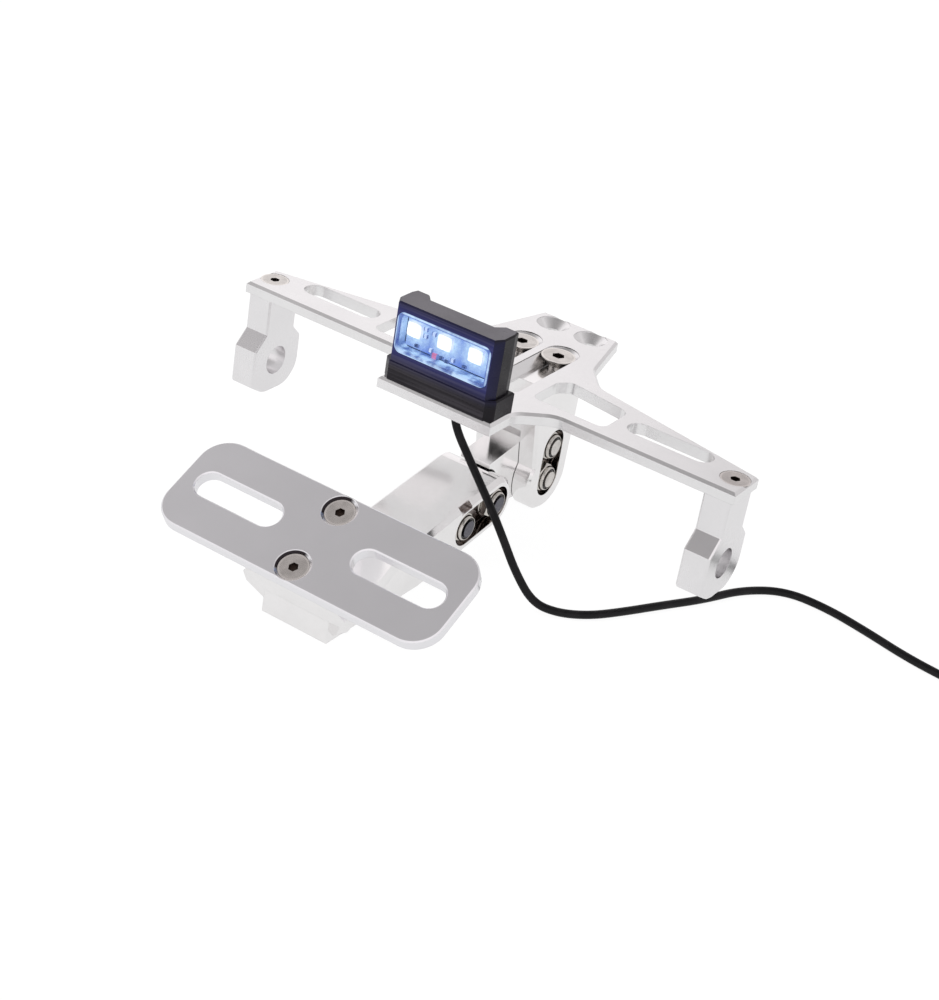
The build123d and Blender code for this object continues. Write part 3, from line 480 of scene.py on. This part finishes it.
def lamp_glow(name, centre, edge):
    """A lit surface whose colour drifts a little from its middle tone."""
    shade = Shade(name)
    drift = shade.noise(shade.place, 700.0, 2.0, 0.5)
    tone = shade.blend(shade.spread(drift, 0.35, 0.65), rgb(*centre), rgb(*edge))
    return shade.finish(
        Base_Color=UNLIT, Emission_Color=tone, Emission_Strength=1.0, Roughness=0.3
    )


def led_glow(name, start, reach, middle, edge, strength):
    """A light that is white in its middle and falls off to blue at its edges."""
    shade = Shade(name)
    drift = shade.noise(shade.place, 700.0, 2.0, 0.5)
    near = near_lights(shade, reach, start) * shade.spread(drift, 0.3, 0.6, 0.9, 1.0)
    return shade.finish(
        Base_Color=UNLIT, Emission_Color=shade.blend(near, rgb(*edge), rgb(*middle)),
        Emission_Strength=strength, Roughness=0.3,
    )


def lens_plastic():
    """Clear lens: nearly see-through in its field, with faint ripples."""
    shade = Shade("clear_lens_plastic")
    ripple = shade.noise(shade.mapped((1.0, 1.0, 2.2)), 500.0, 3.0, 0.5)
    tint = shade.blend(ripple, rgb(0.10, 0.24, 0.7), rgb(0.26, 0.5, 1.0))
    return shade.finish(
        Base_Color=rgb(0.12, 0.22, 0.6), Roughness=0.05,
        Alpha=0.07 + shade.spread(ripple, 0.55, 0.75) * 0.12,
        Emission_Color=tint, Emission_Strength=0.4,
        Normal=shade.bump(ripple, 0.05 * MM, 0.3),
    )


def lens_rim():
    """The lens's moulded edge, which carries the light as a pale line, brighter in places."""
    shade = Shade("lit_lens_rim")
    patch = shade.noise(shade.place, 160.0, 3.0, 0.6)
    line = shade.noise(shade.place, 900.0, 2.0, 0.5)
    share = shade.spread(patch * 0.7 + line * 0.3, 0.38, 0.62)
    thin = shade.spread(past_lens_edge(shade), -0.62 * MM, -0.36 * MM) * (0.45 + share * 0.55)
    inner = shade.blend(share, rgb(0.035, 0.065, 0.28), rgb(0.11, 0.19, 0.55))
    thin = thin.high(low_patches(shade) * 0.85)
    return shade.finish(
        Base_Color=rgb(0.04, 0.05, 0.1), Roughness=shade.spread(line, 0.3, 0.7, 0.08, 0.2),
        Alpha=0.6 + thin * 0.35,
        Emission_Color=shade.blend(thin, inner, rgb(0.6, 0.8, 1.0)), Emission_Strength=1.0,
    )


BRIGHT = machined("bright_top_plate_aluminium", (0.90, 0.895, 0.9), 0.24, (0.25, 1.0, 1.0), depth=0.004)
POLISHED = machined(
    "polished_hinge_aluminium", (0.95, 0.94, 0.94), 0.13, (1.0, 0.3, 1.0),
    pockets=((UPPER_PIVOT, UPPER_SPACING, UPPER_SLOPE), (LOWER_PIVOT, LOWER_SPACING, LOWER_SLOPE)),
)
SATIN = machined("satin_bracket_aluminium", (0.88, 0.87, 0.88), 0.25, (1.0, 1.0, 0.06), mottle=0.02)
CARRIER = machined(
    "satin_carrier_aluminium", (0.895, 0.89, 0.915), 0.22, (0.2, 1.0, 1.0), mottle=0.01,
    mouths=("carrier_screw_upper", "carrier_screw_lower"),
)
STEEL = turned_steel("stainless_fasteners", GREY_STEEL, 0.3)
PLASTIC = lamp_plastic()
SHEATH = lead_sheath()
BOARD = lit_by_lamp("lit_lamp_board", (0.085, 0.17, 0.6), (0.6, 0.84, 1.0), 8.2 * MM)
LENS_WALL = lit_by_lamp(
    "lit_lens_wall", (0.055, 0.11, 0.34), (0.5, 0.74, 1.0), 7.0 * MM, rough=0.2, patches=0.9
)
LENS_RIM = lens_rim()
LIGHT = led_glow("white_lamp_light", 2.1 * MM, 3.7 * MM, (1.0, 1.0, 0.97), (0.42, 0.6, 1.0), 1.6)
LED_CASE = led_glow("lit_led_case", 2.6 * MM, 4.1 * MM, (0.85, 0.93, 1.0), (0.3, 0.46, 0.9), 1.0)
PALE_PART = lamp_glow("lit_small_part", (0.45, 0.6, 0.9), (0.62, 0.76, 1.0))
RED_PART = lamp_glow("red_small_part", (0.48, 0.07, 0.18), (0.7, 0.2, 0.4))
DARK_PART = moulded("dark_small_part", (0.03, 0.045, 0.12), 0.4)
CHIP_CAP = lamp_glow("shaded_solder_cap", (0.04, 0.07, 0.22), (0.12, 0.19, 0.5))
LENS = lens_plastic()
NUT_STEEL = turned_steel("stainless_lock_nuts", (0.70, 0.67, 0.63), 0.2)
NYLON = moulded("black_nylon", (0.012, 0.011, 0.012), 0.42)
RUBBER = moulded("black_grommet_rubber", (0.014, 0.014, 0.015), 0.62)
CONNECTOR_PLASTIC = moulded("black_connector_plastic", (0.02, 0.02, 0.022), 0.36)


def dress(node, material):
    """Gives a node of the frame one finish."""
    mesh = frame["nodes"][node].data
    mesh.materials.clear()
    mesh.materials.append(material)


SLOT_FINISH = {
    "bright_aluminium": BRIGHT,
    "polished_aluminium": POLISHED,
    "satin_aluminium": SATIN,
    "stainless_steel": STEEL,
    "lamp_black": PLASTIC,
    "clear_lens": LENS,
    "white_board": BOARD,
    "white_light": LIGHT,
    "lead_black": SHEATH,
}
for part in frame["record"]["subparts"]:
    dress(part["node"], SLOT_FINISH[part["material_slot"]])
dress("plate_carrier", CARRIER)
for node, axis, head, colour in (
    ("wing_screw_left", UP, M5_HEAD, (0.76, 0.73, 0.7)),
    ("wing_screw_right", UP, M5_HEAD, (0.62, 0.58, 0.56)),
    ("slide_screw_left", UP, M6_HEAD, (0.74, 0.71, 0.68)),
    ("slide_screw_right", UP, M6_HEAD, (0.74, 0.71, 0.68)),
    ("carrier_screw_upper", CARRIER_AXIS, M5_HEAD, WARM_STEEL),
    ("carrier_screw_lower", CARRIER_AXIS, M5_HEAD, WARM_STEEL),
):
    dress(node, socket_screw(node, axis, colour, 0.28, *head))
# These bolts get painted shade on their ends inside the nuts
for node in ("lower_pivot_bolt", "lower_clamp_bolt"):
    dress(node, bolt_end_steel(node + "_painted_shade_end", GREY_STEEL, 0.22))


# Lamp lead, in millimetres

LEAD_D = 2.8
EXIT = (3.4, -0.5, 52.7)
LEAD_ROUTE = [
    EXIT, (3.4, -0.5, 48.9), (13.4, -1.6, 38.1), (19.0, -3.2, 33.3), (25.7, -6.0, 28.8),
    (33.0, -7.4, 20.8), (39.7, -8.1, 12.0), (47.4, -7.0, 3.2), (55.5, -3.4, 1.4), (63.8, 3.5, 1.4),
    (70.3, 13.9, 1.4), (77.6, 27.4, 1.4), (86.0, 42.0, 1.4), (92.4, 57.6, 1.4), (103.5, 69.0, 1.4),
    (119.0, 70.0, 1.4), (135.5, 66.8, 1.4), (153.0, 62.3, 1.4), (171.0, 60.6, 1.4),
]
COIL_MID_R = 15.5
COIL_OUTER_R = COIL_MID_R + LEAD_D
COIL_X = 184.0
TURNS = 5.25
POINTS_PER_TURN = 24
INWARD = ((300, 360), (660, 720))
RISE = (950, 1020)
OUTWARD = ((1240, 1310), (1600, 1670))
TAIL = 30.0
TIE_T = 0.6
TIE_ANGLE = 180.0
TIE_LIFT = (6, 45)

entry = Vector(LEAD_ROUTE[-1])
along = (entry - Vector(LEAD_ROUTE[-2])).normalized()
normal = Vector((-along.y, along.x, 0))
coil_middle = entry + along * (COIL_X - entry.x) + normal * COIL_OUTER_R
coil_middle.z = 0


def steps(value, low, high):
    """0 before low, 1 after high, and a smooth rise between them."""
    share = min(1.0, max(0.0, (value - low) / (high - low)))
    return share * share * (3 - 2 * share)


def coil_points():
    """Turns side by side in two layers: out to in below, a rise at the inside, in to out above.

    INWARD, RISE and OUTWARD give the degrees along the coil at which it shifts by one thickness,
    TIE_LIFT the degrees from the tie over which its strap, under the coil, lifts it.
    """
    points = []
    for i in range(round(TURNS * POINTS_PER_TURN) + 1):
        angle = 360.0 * i / POINTS_PER_TURN
        inward = sum(steps(angle, *shift) for shift in INWARD)
        outward = sum(steps(angle, *shift) for shift in OUTWARD)
        radius = COIL_MID_R + LEAD_D * (1 - inward + outward)
        over_tie = 1 - steps(abs(angle % 360 - TIE_ANGLE), *TIE_LIFT)
        height = LEAD_D * (0.5 + steps(angle, *RISE)) + TIE_T * over_tie
        turn = math.radians(angle - 90)
        outwards = math.cos(turn) * along + math.sin(turn) * normal
        points.append(coil_middle + radius * outwards + height * UP)
    return points


def tail_points():
    """From the top of the coil down to the floor, as far as the connector's back end."""
    start = coil_middle + along * COIL_OUTER_R
    return [
        start + normal * TAIL * share + LEAD_D * (0.5 + layer) * UP
        for share, layer in ((0.2, 0.94), (0.42, 0.6), (0.66, 0.22), (0.84, 0.02), (1.05, 0.0))
    ]


def tube(name, points, diameter, material):
    """A round cord through points, in millimetres."""
    curve = bpy.data.curves.new(name, "CURVE")
    curve.dimensions = "3D"
    curve.bevel_depth = diameter * MM / 2
    curve.bevel_resolution = 5
    curve.resolution_u = 8
    curve.use_fill_caps = True
    spline = curve.splines.new("NURBS")
    spline.points.add(len(points) - 1)
    for point, place in zip(spline.points, points):
        point.co = (*(Vector(place) * MM), 1.0)
    spline.order_u = 3
    spline.use_endpoint_u = True
    curve.materials.append(material)
    obj = bpy.data.objects.new(name, curve)
    bpy.context.scene.collection.objects.link(obj)
    return obj


def make_lead():
    """The whole lead in one: its run to the floor, the coil and the tail to the connector."""
    points = [Vector(p) for p in LEAD_ROUTE] + coil_points() + tail_points()
    lead = tube("lamp_lead_cord", points, LEAD_D, SHEATH)
    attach(lead, BODY)
    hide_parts("lamp_lead", "lead_coil")
    return lead


lead = make_lead()


# Meshes made of rings and blocks

TURNED_SIDES = 48


def mesh_object(name, mesh):
    obj = bpy.data.objects.new(name, mesh)
    bpy.context.scene.collection.objects.link(obj)
    return obj


def finish_mesh(bm, name, smooth_below=40.0):
    """A mesh with its faces turned outwards, smooth but for its sharp edges."""
    bmesh.ops.recalc_face_normals(bm, faces=bm.faces)
    for face in bm.faces:
        face.smooth = True
    for edge in bm.edges:
        if len(edge.link_faces) == 2 and math.degrees(edge.calc_face_angle(0.0)) > smooth_below:
            edge.smooth = False
    mesh = bpy.data.meshes.new(name)
    bm.to_mesh(mesh)
    bm.free()
    return mesh


def lofted(bm, rings, looped=False):
    """Joins rings of equally many points, in millimetres.

    Looped joins the last ring to the first. Without it the first and last ring are filled.
    """
    rows = [[bm.verts.new(Vector(p) * MM) for p in ring] for ring in rings]
    for below, above in zip(rows, rows[1:] + rows[:1] if looped else rows[1:]):
        for i in range(len(below)):
            j = (i + 1) % len(below)
            bm.faces.new((below[i], below[j], above[j], above[i]))
    if not looped:
        bm.faces.new(rows[0][::-1])
        bm.faces.new(rows[-1])


def round_points(count):
    """Evenly spaced angles round a circle."""
    return [math.tau * i / count for i in range(count)]


def turned(bm, profile):
    """Turns a closed outline of (radius, height) pairs about Z."""
    angles = round_points(TURNED_SIDES)
    lofted(bm, [[(r * math.cos(a), r * math.sin(a), z) for a in angles] for r, z in profile], looped=True)


def rounded_box(bm, centre, size, edge, slot=0):
    """A block with its edges rounded, in millimetres."""
    made = bmesh.ops.create_cube(bm, size=1.0)["verts"]
    for vert in made:
        vert.co = (Vector(centre) + Vector(size) * vert.co) * MM
    for face in {f for v in made for f in v.link_faces}:
        face.material_index = slot
    edges = list({e for v in made for e in v.link_edges})
    bmesh.ops.bevel(bm, geom=edges, offset=edge * MM, segments=2, affect="EDGES", profile=0.5)


def rounded_rectangle(half_w, half_h, radius, per_corner=6):
    """Points round a rectangle with round corners, anticlockwise from the right."""
    points = []
    for corner, (sx, sy) in enumerate(((1, 1), (-1, 1), (-1, -1), (1, -1))):
        for i in range(per_corner + 1):
            angle = math.pi / 2 * (corner + i / per_corner)
            points.append((
                sx * (half_w - radius) + radius * math.cos(angle),
                sy * (half_h - radius) + radius * math.sin(angle),
            ))
    return points


def ride_as(obj, body, replaced):
    """Hands a piece over: the body it rides on and the nodes that it replaces."""
    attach(obj, body)
    if replaced:
        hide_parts(*replaced)
    return obj


def add_piece(name, mesh, materials, replaced, place=None):
    """A piece of the frame's own body, moved from the origin to its place."""
    for material in materials:
        mesh.materials.append(material)
    if place:
        mesh.transform(place)
    return ride_as(mesh_object(name, mesh), BODY, replaced)


# Repeats by Geometry Nodes

class Geometry(Maker):
    """A node group that sets one copy of each prototype on every point of the mesh it is given."""

    def __init__(self, name, prototypes):
        group = bpy.data.node_groups.new(name, "GeometryNodeTree")
        super().__init__(group)
        group.interface.new_socket("Points", in_out="INPUT", socket_type="NodeSocketGeometry")
        size = group.interface.new_socket("Size", in_out="INPUT", socket_type="NodeSocketFloat")
        group.interface.new_socket("Copies", in_out="OUTPUT", socket_type="NodeSocketGeometry")
        self.size = size.identifier
        given = self.node("NodeGroupInput")
        join = self.tree.nodes.new("GeometryNodeJoinGeometry")
        for prototype, material in prototypes:
            shape = self.node("GeometryNodeObjectInfo", None, {"Object": prototype})["Geometry"]
            copies = self.node("GeometryNodeInstanceOnPoints", None, {
                "Points": given[0], "Instance": shape, "Scale": given[1],
            })[0]
            solid = self.node("GeometryNodeRealizeInstances", None, {"Geometry": copies})[0]
            painted = self.node("GeometryNodeSetMaterial", None, {
                "Geometry": solid, "Material": material,
            })[0]
            self.tree.links.new(painted.socket, join.inputs[0])
        result = self.tree.nodes.new("NodeGroupOutput")
        self.tree.links.new(join.outputs[0], result.inputs[0])
        self.group = group


def repeat(name, prototypes, places, body, replaced=()):
    """One mesh that holds a copy of each prototype at each place, riding on a body."""
    points = bpy.data.meshes.new(name + "_places")
    points.from_pydata([Vector(p) * MM for p in places], [], [])
    carrier = mesh_object(name + "_source", points)
    maker = Geometry(name + "_group", prototypes)
    modifier = carrier.modifiers.new("copies", "NODES")
    modifier.node_group = maker.group
    modifier[maker.size] = 1.0
    bpy.context.view_layer.update()
    result = carrier.evaluated_get(bpy.context.evaluated_depsgraph_get())
    mesh = bpy.data.meshes.new_from_object(result)
    mesh.name = name
    carrier.modifiers.remove(modifier)
    bpy.data.objects.remove(carrier)
    for prototype, _ in prototypes:
        bpy.data.objects.remove(prototype)
    return ride_as(mesh_object(name, mesh), body, replaced)


# Lock nuts with washers, in millimetres

NUT_ACROSS = 10.0
NUT_SIDES = 72
WASHER_T = 0.8
WASHER_GAP = 0.02
HEX_TOP = 3.3
THREAD_R = 3.1
CORNER_FALL = 0.6
WASHER = ((3.15, 0.0), (5.75, 0.0), (5.95, 0.2), (5.95, WASHER_T - 0.2), (5.75, WASHER_T), (3.15, WASHER_T))
COLLAR = (
    (4.65, HEX_TOP + 0.1), (4.6, 3.8), (4.45, 4.3), (4.2, 4.62), (4.05, 4.78), (3.92, 4.7), (3.88, 4.0),
    (THREAD_R, 4.0),
)
NYLON_RING = ((3.06, 3.95), (3.86, 3.95), (3.86, 4.3), (3.4, 4.42), (3.06, 4.3))
SIDEWAYS = Matrix.Rotation(math.radians(90), 4, "Y")


def hex_radius(angle):
    """How far the nut's side is from its middle in one direction."""
    return NUT_ACROSS / 2 / math.cos((angle % (math.pi / 3)) - math.pi / 6)


def nut_parts():
    """A washer, a hexagon with turned-off corners and a rounded collar, and the nylon ring in it."""
    land = NUT_ACROSS / 2 - 0.15
    hex_base = WASHER_T + WASHER_GAP

    def ring(radius_of, height_of):
        angles = round_points(NUT_SIDES)
        return [(radius_of(a) * math.cos(a), radius_of(a) * math.sin(a), height_of(a)) for a in angles]

    def level(radius, height):
        return ring(lambda a: radius, lambda a: height)

    def fall(a):
        return max(0.0, hex_radius(a) - land) * CORNER_FALL

    bm = bmesh.new()
    turned(bm, WASHER)
    lofted(bm, [
        level(THREAD_R, hex_base),
        level(land, hex_base),
        ring(hex_radius, lambda a: hex_base + fall(a)),
        ring(hex_radius, lambda a: HEX_TOP - fall(a)),
        level(land, HEX_TOP),
        *(level(radius, height) for radius, height in COLLAR),
    ], looped=True)
    metal = finish_mesh(bm, "nut_metal", 28.0)
    metal.transform(SIDEWAYS)
    bm = bmesh.new()
    turned(bm, NYLON_RING)
    nylon = finish_mesh(bm, "nut_nylon")
    nylon.transform(SIDEWAYS)
    return [(mesh_object("nut_metal", metal), NUT_STEEL), (mesh_object("nut_nylon", nylon), NYLON)]


repeat("block_lock_nuts", nut_parts(), [UPPER_PIVOT, UPPER_CLAMP], "carriage",
       ("upper_pivot_nut", "upper_clamp_nut"))
repeat("arm_lock_nuts", nut_parts(), [LOWER_PIVOT, LOWER_CLAMP], "arm",
       ("lower_pivot_nut", "lower_clamp_nut"))


# Lamp: clear cover, lights and the small parts on the board, in millimetres

HOUSING_FRONT = -7.1
LENS_PROUD = 0.3
LENS_T = 1.6
LENS_R = 2.6
BOARD_SET_BACK = 2.6
LENS_FRONT = HOUSING_FRONT - LENS_PROUD
BOARD_FRONT = HOUSING_FRONT + LENS_T + BOARD_SET_BACK
LAMP_MIDDLE = (LAMP_X / MM, LENS_Z / MM)
LED_DEPTH = 1.4
LED_FLATTER = 0.2
CHIPS = (
    ("pale_board_parts", (1.5, 1.3, 0.8), PALE_PART,
     ((-10.7, 78.3), (-10.5, 75.9), (-7.9, 71.9), (0.8, 71.7), (-7.4, 77.8))),
    ("red_board_parts", (2.6, 1.9, 0.9), RED_PART, ((-6.1, 70.5),)),
    ("dark_board_parts", (1.6, 1.0, 0.7), DARK_PART,
     ((-3.6, 70.9), (-1.4, 70.4), (5.4, 71.2), (-13.4, 71.4))),
)


def lens_loop(inset, radius, y):
    """The lens's outline, drawn in by an inset."""
    outline = rounded_rectangle(LENS_HALF_W / MM - inset, LENS_HALF_H / MM - inset, radius, 8)
    return [(LAMP_MIDDLE[0] + x, y, LAMP_MIDDLE[1] + z) for x, z in outline]


def lamp_cover():
    """A clear box-shaped cover: a field, a rounded rim round it and walls back to the board.

    Each loop of the rim and walls has an inset, a corner radius and a depth.
    """
    bm = bmesh.new()
    front, back = LENS_FRONT, BOARD_FRONT + 0.1
    lofted(bm, [lens_loop(*loop) for loop in (
        (1.15, 2.0, back), (1.15, 2.0, front + 1.0), (1.05, 2.0, front + 0.35), (0.75, 2.2, front + 0.05),
        (0.35, 2.4, front), (0.08, 2.55, front + 0.12), (0.0, LENS_R, front + 0.4),
        (0.0, LENS_R, front + LENS_T + LENS_PROUD), (1.0, 2.0, front + LENS_T + LENS_PROUD), (1.0, 2.0, back),
    )], looped=True)
    for face in bm.faces:
        depth = sum(v.co.y for v in face.verts) / len(face.verts) / MM
        face.material_index = 1 if depth < front + 0.7 else 2
    lofted(bm, [lens_loop(1.06, 2.0, front + 0.42), lens_loop(1.06, 2.0, front + 0.75)])
    mesh = finish_mesh(bm, "lamp_cover", 50.0)
    add_piece("lamp_cover", mesh, [LENS, LENS_RIM, LENS_WALL], ["lamp_lens"])


def led_block(name, radius, steps_back):
    """A block that narrows in steps, each of a half width and a height above the board."""
    bm = bmesh.new()
    lofted(bm, [
        [(x, BOARD_FRONT - height, z) for x, z in rounded_rectangle(half, half - LED_FLATTER, radius, 3)]
        for half, height in steps_back
    ])
    return mesh_object(name, finish_mesh(bm, name))


def led_prototypes():
    """A square package with a chamfered frame and, proud of it, the lit face."""
    case_steps = ((2.8, 0.0), (2.8, LED_DEPTH - 0.5), (2.65, LED_DEPTH - 0.25), (2.5, LED_DEPTH - 0.2))
    face_steps = ((2.6, LED_DEPTH - 0.3), (2.6, LED_DEPTH - 0.12), (2.4, LED_DEPTH))
    case = led_block("led_case", 0.5, case_steps)
    face = led_block("led_face", 0.45, face_steps)
    return [(case, LED_CASE), (face, LIGHT)]


def chip_prototypes(size, body_material):
    """A small board part: a body with a cap at each end."""
    width, height, depth = size
    bm = bmesh.new()
    rounded_box(bm, (0, BOARD_FRONT - depth / 2, 0), (width * 0.7, depth, height), 0.08)
    body = finish_mesh(bm, "chip_body")
    bm = bmesh.new()
    cap = (width * 0.2, depth * 1.05, height)
    for side in (-1, 1):
        rounded_box(bm, (side * width * 0.42, BOARD_FRONT - depth * 0.52, 0), cap, 0.06)
    caps = finish_mesh(bm, "chip_caps")
    return [(mesh_object("chip_body", body), body_material), (mesh_object("chip_caps", caps), CHIP_CAP)]


lamp_cover()
repeat("lamp_lights", led_prototypes(),
       [((LED_X + step * LED_PITCH) / MM, 0, LED_Z / MM) for step in LED_STEPS], BODY,
       ("led_left", "led_middle", "led_right"))
for name, size, material, places in CHIPS:
    repeat(name, chip_prototypes(size, material), [(x, 0, z) for x, z in places], BODY)


# Lead's grommet, tie and connector, in millimetres

GROMMET_TOP_Z = 65.0
PLATE_UNDER_Z = 54.0
BORE_R = 1.42
STRAP_HALF_W = 1.2
STRAP_BEND_R = 1.3
PLUG_Z = 2.5


def grommet():
    """A rubber grommet: a short ribbed cone round the lead, a flange under the plate, a sleeve above."""
    bm = bmesh.new()
    cone = ((BORE_R, 3.0), (1.8, 3.0), (2.0, 2.6), (1.75, 2.4), (2.05, 2.1), (2.2, 1.8), (1.95, 1.6))
    flange = ((2.3, 1.3), (3.1, 1.3), (3.4, 1.0), (3.4, 0.05), (2.35, 0.05))
    profile = [(radius, PLATE_UNDER_Z - drop) for radius, drop in cone + flange]
    turned(bm, profile + [(2.35, GROMMET_TOP_Z), (BORE_R, GROMMET_TOP_Z)])
    mesh = finish_mesh(bm, "lead_grommet_piece", 50.0)
    add_piece("lead_grommet_piece", mesh, [RUBBER], ["cable_grommet"],
              Matrix.Translation(Vector((EXIT[0], EXIT[1], 0)) * MM))


def placed(middle, first, second):
    """A move to a place, with X turned to the first direction and Y to the second."""
    return Matrix.Translation(middle * MM) @ Matrix((first, second, UP)).transposed().to_4x4()


def cable_tie():
    """A strap round the coil's six strands, with its head outside and its end cut short."""
    half_w, half_h = 1.5 * LEAD_D + 0.05, LEAD_D + 0.05
    bm = bmesh.new()
    inside = rounded_rectangle(half_w, half_h, STRAP_BEND_R)
    outside = rounded_rectangle(half_w + TIE_T, half_h + TIE_T, STRAP_BEND_R + TIE_T)
    near, far = -STRAP_HALF_W, STRAP_HALF_W
    lofted(bm, [
        [(x, across, z) for x, z in loop]
        for loop, across in ((inside, near), (outside, near), (outside, far), (inside, far))
    ], looped=True)
    rounded_box(bm, (half_w + TIE_T + 1.3, 0, 0.4), (2.6, 3.6, 3.4), 0.4)
    rounded_box(bm, (half_w + TIE_T + 1.3, 0, 2.9), (0.8, 2.2, 2.6), 0.2)
    mesh = finish_mesh(bm, "lead_tie_piece")
    middle = coil_middle + normal * COIL_MID_R + (half_h + TIE_T) * UP
    return add_piece("lead_tie_piece", mesh, [NYLON], ["coil_tie"],
                     placed(middle, normal, -along))


def connector():
    """A two-pole plug housing: waisted body, grip ribs, a latch on top and two sockets in its face."""
    ribs = [((0, 1.6 + 1.3 * i, PLUG_Z), (6.7, 0.6, 4.9), 0.15) for i in range(4)]
    sockets = [((side * 1.7, 12.0, PLUG_Z), (2.2, 0.3, 2.6), 0.1, 1) for side in (-1, 1)]
    bm = bmesh.new()
    for block in (
        ((0, 4.4, PLUG_Z), (6.2, 8.4, 4.6), 0.5),
        ((0, 10.0, PLUG_Z), (7.0, 4.0, 5.0), 0.45),
        *ribs,
        ((0, 7.6, 4.8), (2.6, 5.6, 0.7), 0.25),
        ((0, 5.2, 5.1), (2.6, 0.8, 0.9), 0.2),
        *sockets,
    ):
        rounded_box(bm, *block)
    mesh = finish_mesh(bm, "lead_connector_piece")
    end = coil_middle + along * COIL_OUTER_R + normal * TAIL
    return add_piece("lead_connector_piece", mesh, [CONNECTOR_PLASTIC, NYLON],
                     ["lead_connector"], placed(end, along, normal))


grommet()
tie = cable_tie()
plug = connector()


# Floor, light and background, in metres

FLOOR_HALF = 4.0
FLOOR_DROP = 0.0002
# How far the floor's plain white covers its shadows, and how bright it is, for the camera and in metal
SEEN_BY_CAMERA, SEEN_IN_METAL = 0.86, 0.8
WHITE_FOR_CAMERA, WHITE_IN_METAL = 1.09, 0.9
# What the studio's dark parts leave or take of its light, and its faint tint
OVERHEAD_LEFT = 0.45
FRONT_LOSS, BEHIND_LOSS = 0.32, 0.31
STUDIO_TINT = rgb(1.0, 0.972, 0.98)
WHITE = rgb(1, 1, 1)
LIGHT_AIM = Vector((0, 0, 0.03))


def make_floor():
    """A pale floor that takes shadows, mixed with plain white for the camera and in reflections."""
    shade = Shade("pale_floor")
    dust = shade.noise(shade.place, 4.0, 2.0, 0.5)
    tone = shade.blend(shade.spread(dust, 0.4, 0.6), rgb(0.86, 0.86, 0.86), rgb(0.88, 0.88, 0.88))
    plain = shade.node("ShaderNodeBsdfDiffuse", None, {"Color": tone})[0]
    rays = shade.node("ShaderNodeLightPath")
    bright = rays["Is Camera Ray"] * (WHITE_FOR_CAMERA - WHITE_IN_METAL) + WHITE_IN_METAL
    white = shade.node("ShaderNodeEmission", None, {"Color": WHITE, "Strength": bright})[0]
    seen = rays["Is Camera Ray"] * SEEN_BY_CAMERA
    mirrored = rays["Is Glossy Ray"].high(rays["Is Transmission Ray"]) * SEEN_IN_METAL
    mixed = shade.node("ShaderNodeMixShader", None, {0: seen.high(mirrored), 1: plain, 2: white})[0]
    shade.node("ShaderNodeOutputMaterial", None, {"Surface": mixed})
    mesh = bpy.data.meshes.new("floor")
    corners = [(x * FLOOR_HALF, y * FLOOR_HALF, 0) for x, y in ((-1, -1), (1, -1), (1, 1), (-1, 1))]
    mesh.from_pydata(corners, [], [(0, 1, 2, 3)])
    mesh.materials.append(shade.material)
    floor = mesh_object("floor", mesh)
    floor.location.z = -FLOOR_DROP


def make_world():
    """White for the camera. For the rest it darkens overhead, in the upper front and, low, behind."""
    world = bpy.data.worlds.new("studio")
    bpy.context.scene.world = world
    world.use_nodes = True
    maker = Maker(world.node_tree)
    direction = maker.node("ShaderNodeTexCoord")["Generated"]
    split = maker.node("ShaderNodeSeparateXYZ", None, {0: direction})
    x, y, z = split[0], split[1], split[2]

    def ramp(value, low, high, to_low, to_high):
        return maker.node("ShaderNodeMapRange", {"interpolation_type": "SMOOTHSTEP"}, {
            "Value": value, "From Min": low, "From Max": high, "To Min": to_low, "To Max": to_high,
        })[0]

    overhead = ramp(z, 0.48, 0.94, 1.0, OVERHEAD_LEFT)
    front = ramp(y, -0.45, -0.1, 1.0, 0.0) * ramp(z, 0.4, 0.7, 0.0, 1.0)
    behind = ramp(y, 0.3, 0.65, 0.0, 1.0) * ramp(x, -0.41, -0.3, 0.0, 1.0) * ramp(z, 0.5, 0.7, 1.0, 0.0)
    rays = maker.node("ShaderNodeLightPath")
    strength = rays["Is Camera Ray"].high(overhead * (1 - front * FRONT_LOSS) * (1 - behind * BEHIND_LOSS))
    tint = maker.node("ShaderNodeMix", {"data_type": "RGBA"}, {
        0: rays["Is Camera Ray"], 6: STUDIO_TINT, 7: WHITE,
    })[2]
    sky = maker.node("ShaderNodeBackground", None, {"Color": tint, "Strength": strength})[0]
    maker.node("ShaderNodeOutputWorld", None, {"Surface": sky})


def make_light(name, place, size, power):
    """A square soft light that shines on the part and isn't mirrored in it."""
    data = bpy.data.lights.new(name, "AREA")
    data.size = size
    data.energy = power
    light = bpy.data.objects.new(name, data)
    light.location = place
    light.rotation_mode = "QUATERNION"
    light.rotation_quaternion = (LIGHT_AIM - Vector(place)).to_track_quat("-Z", "Y")
    light.visible_glossy = False
    bpy.context.scene.collection.objects.link(light)


make_floor()
make_world()
make_light("key_softbox", (-0.7, -0.6, 1.3), 0.8, 6.0)
bpy.context.scene.view_settings.view_transform = "Standard"
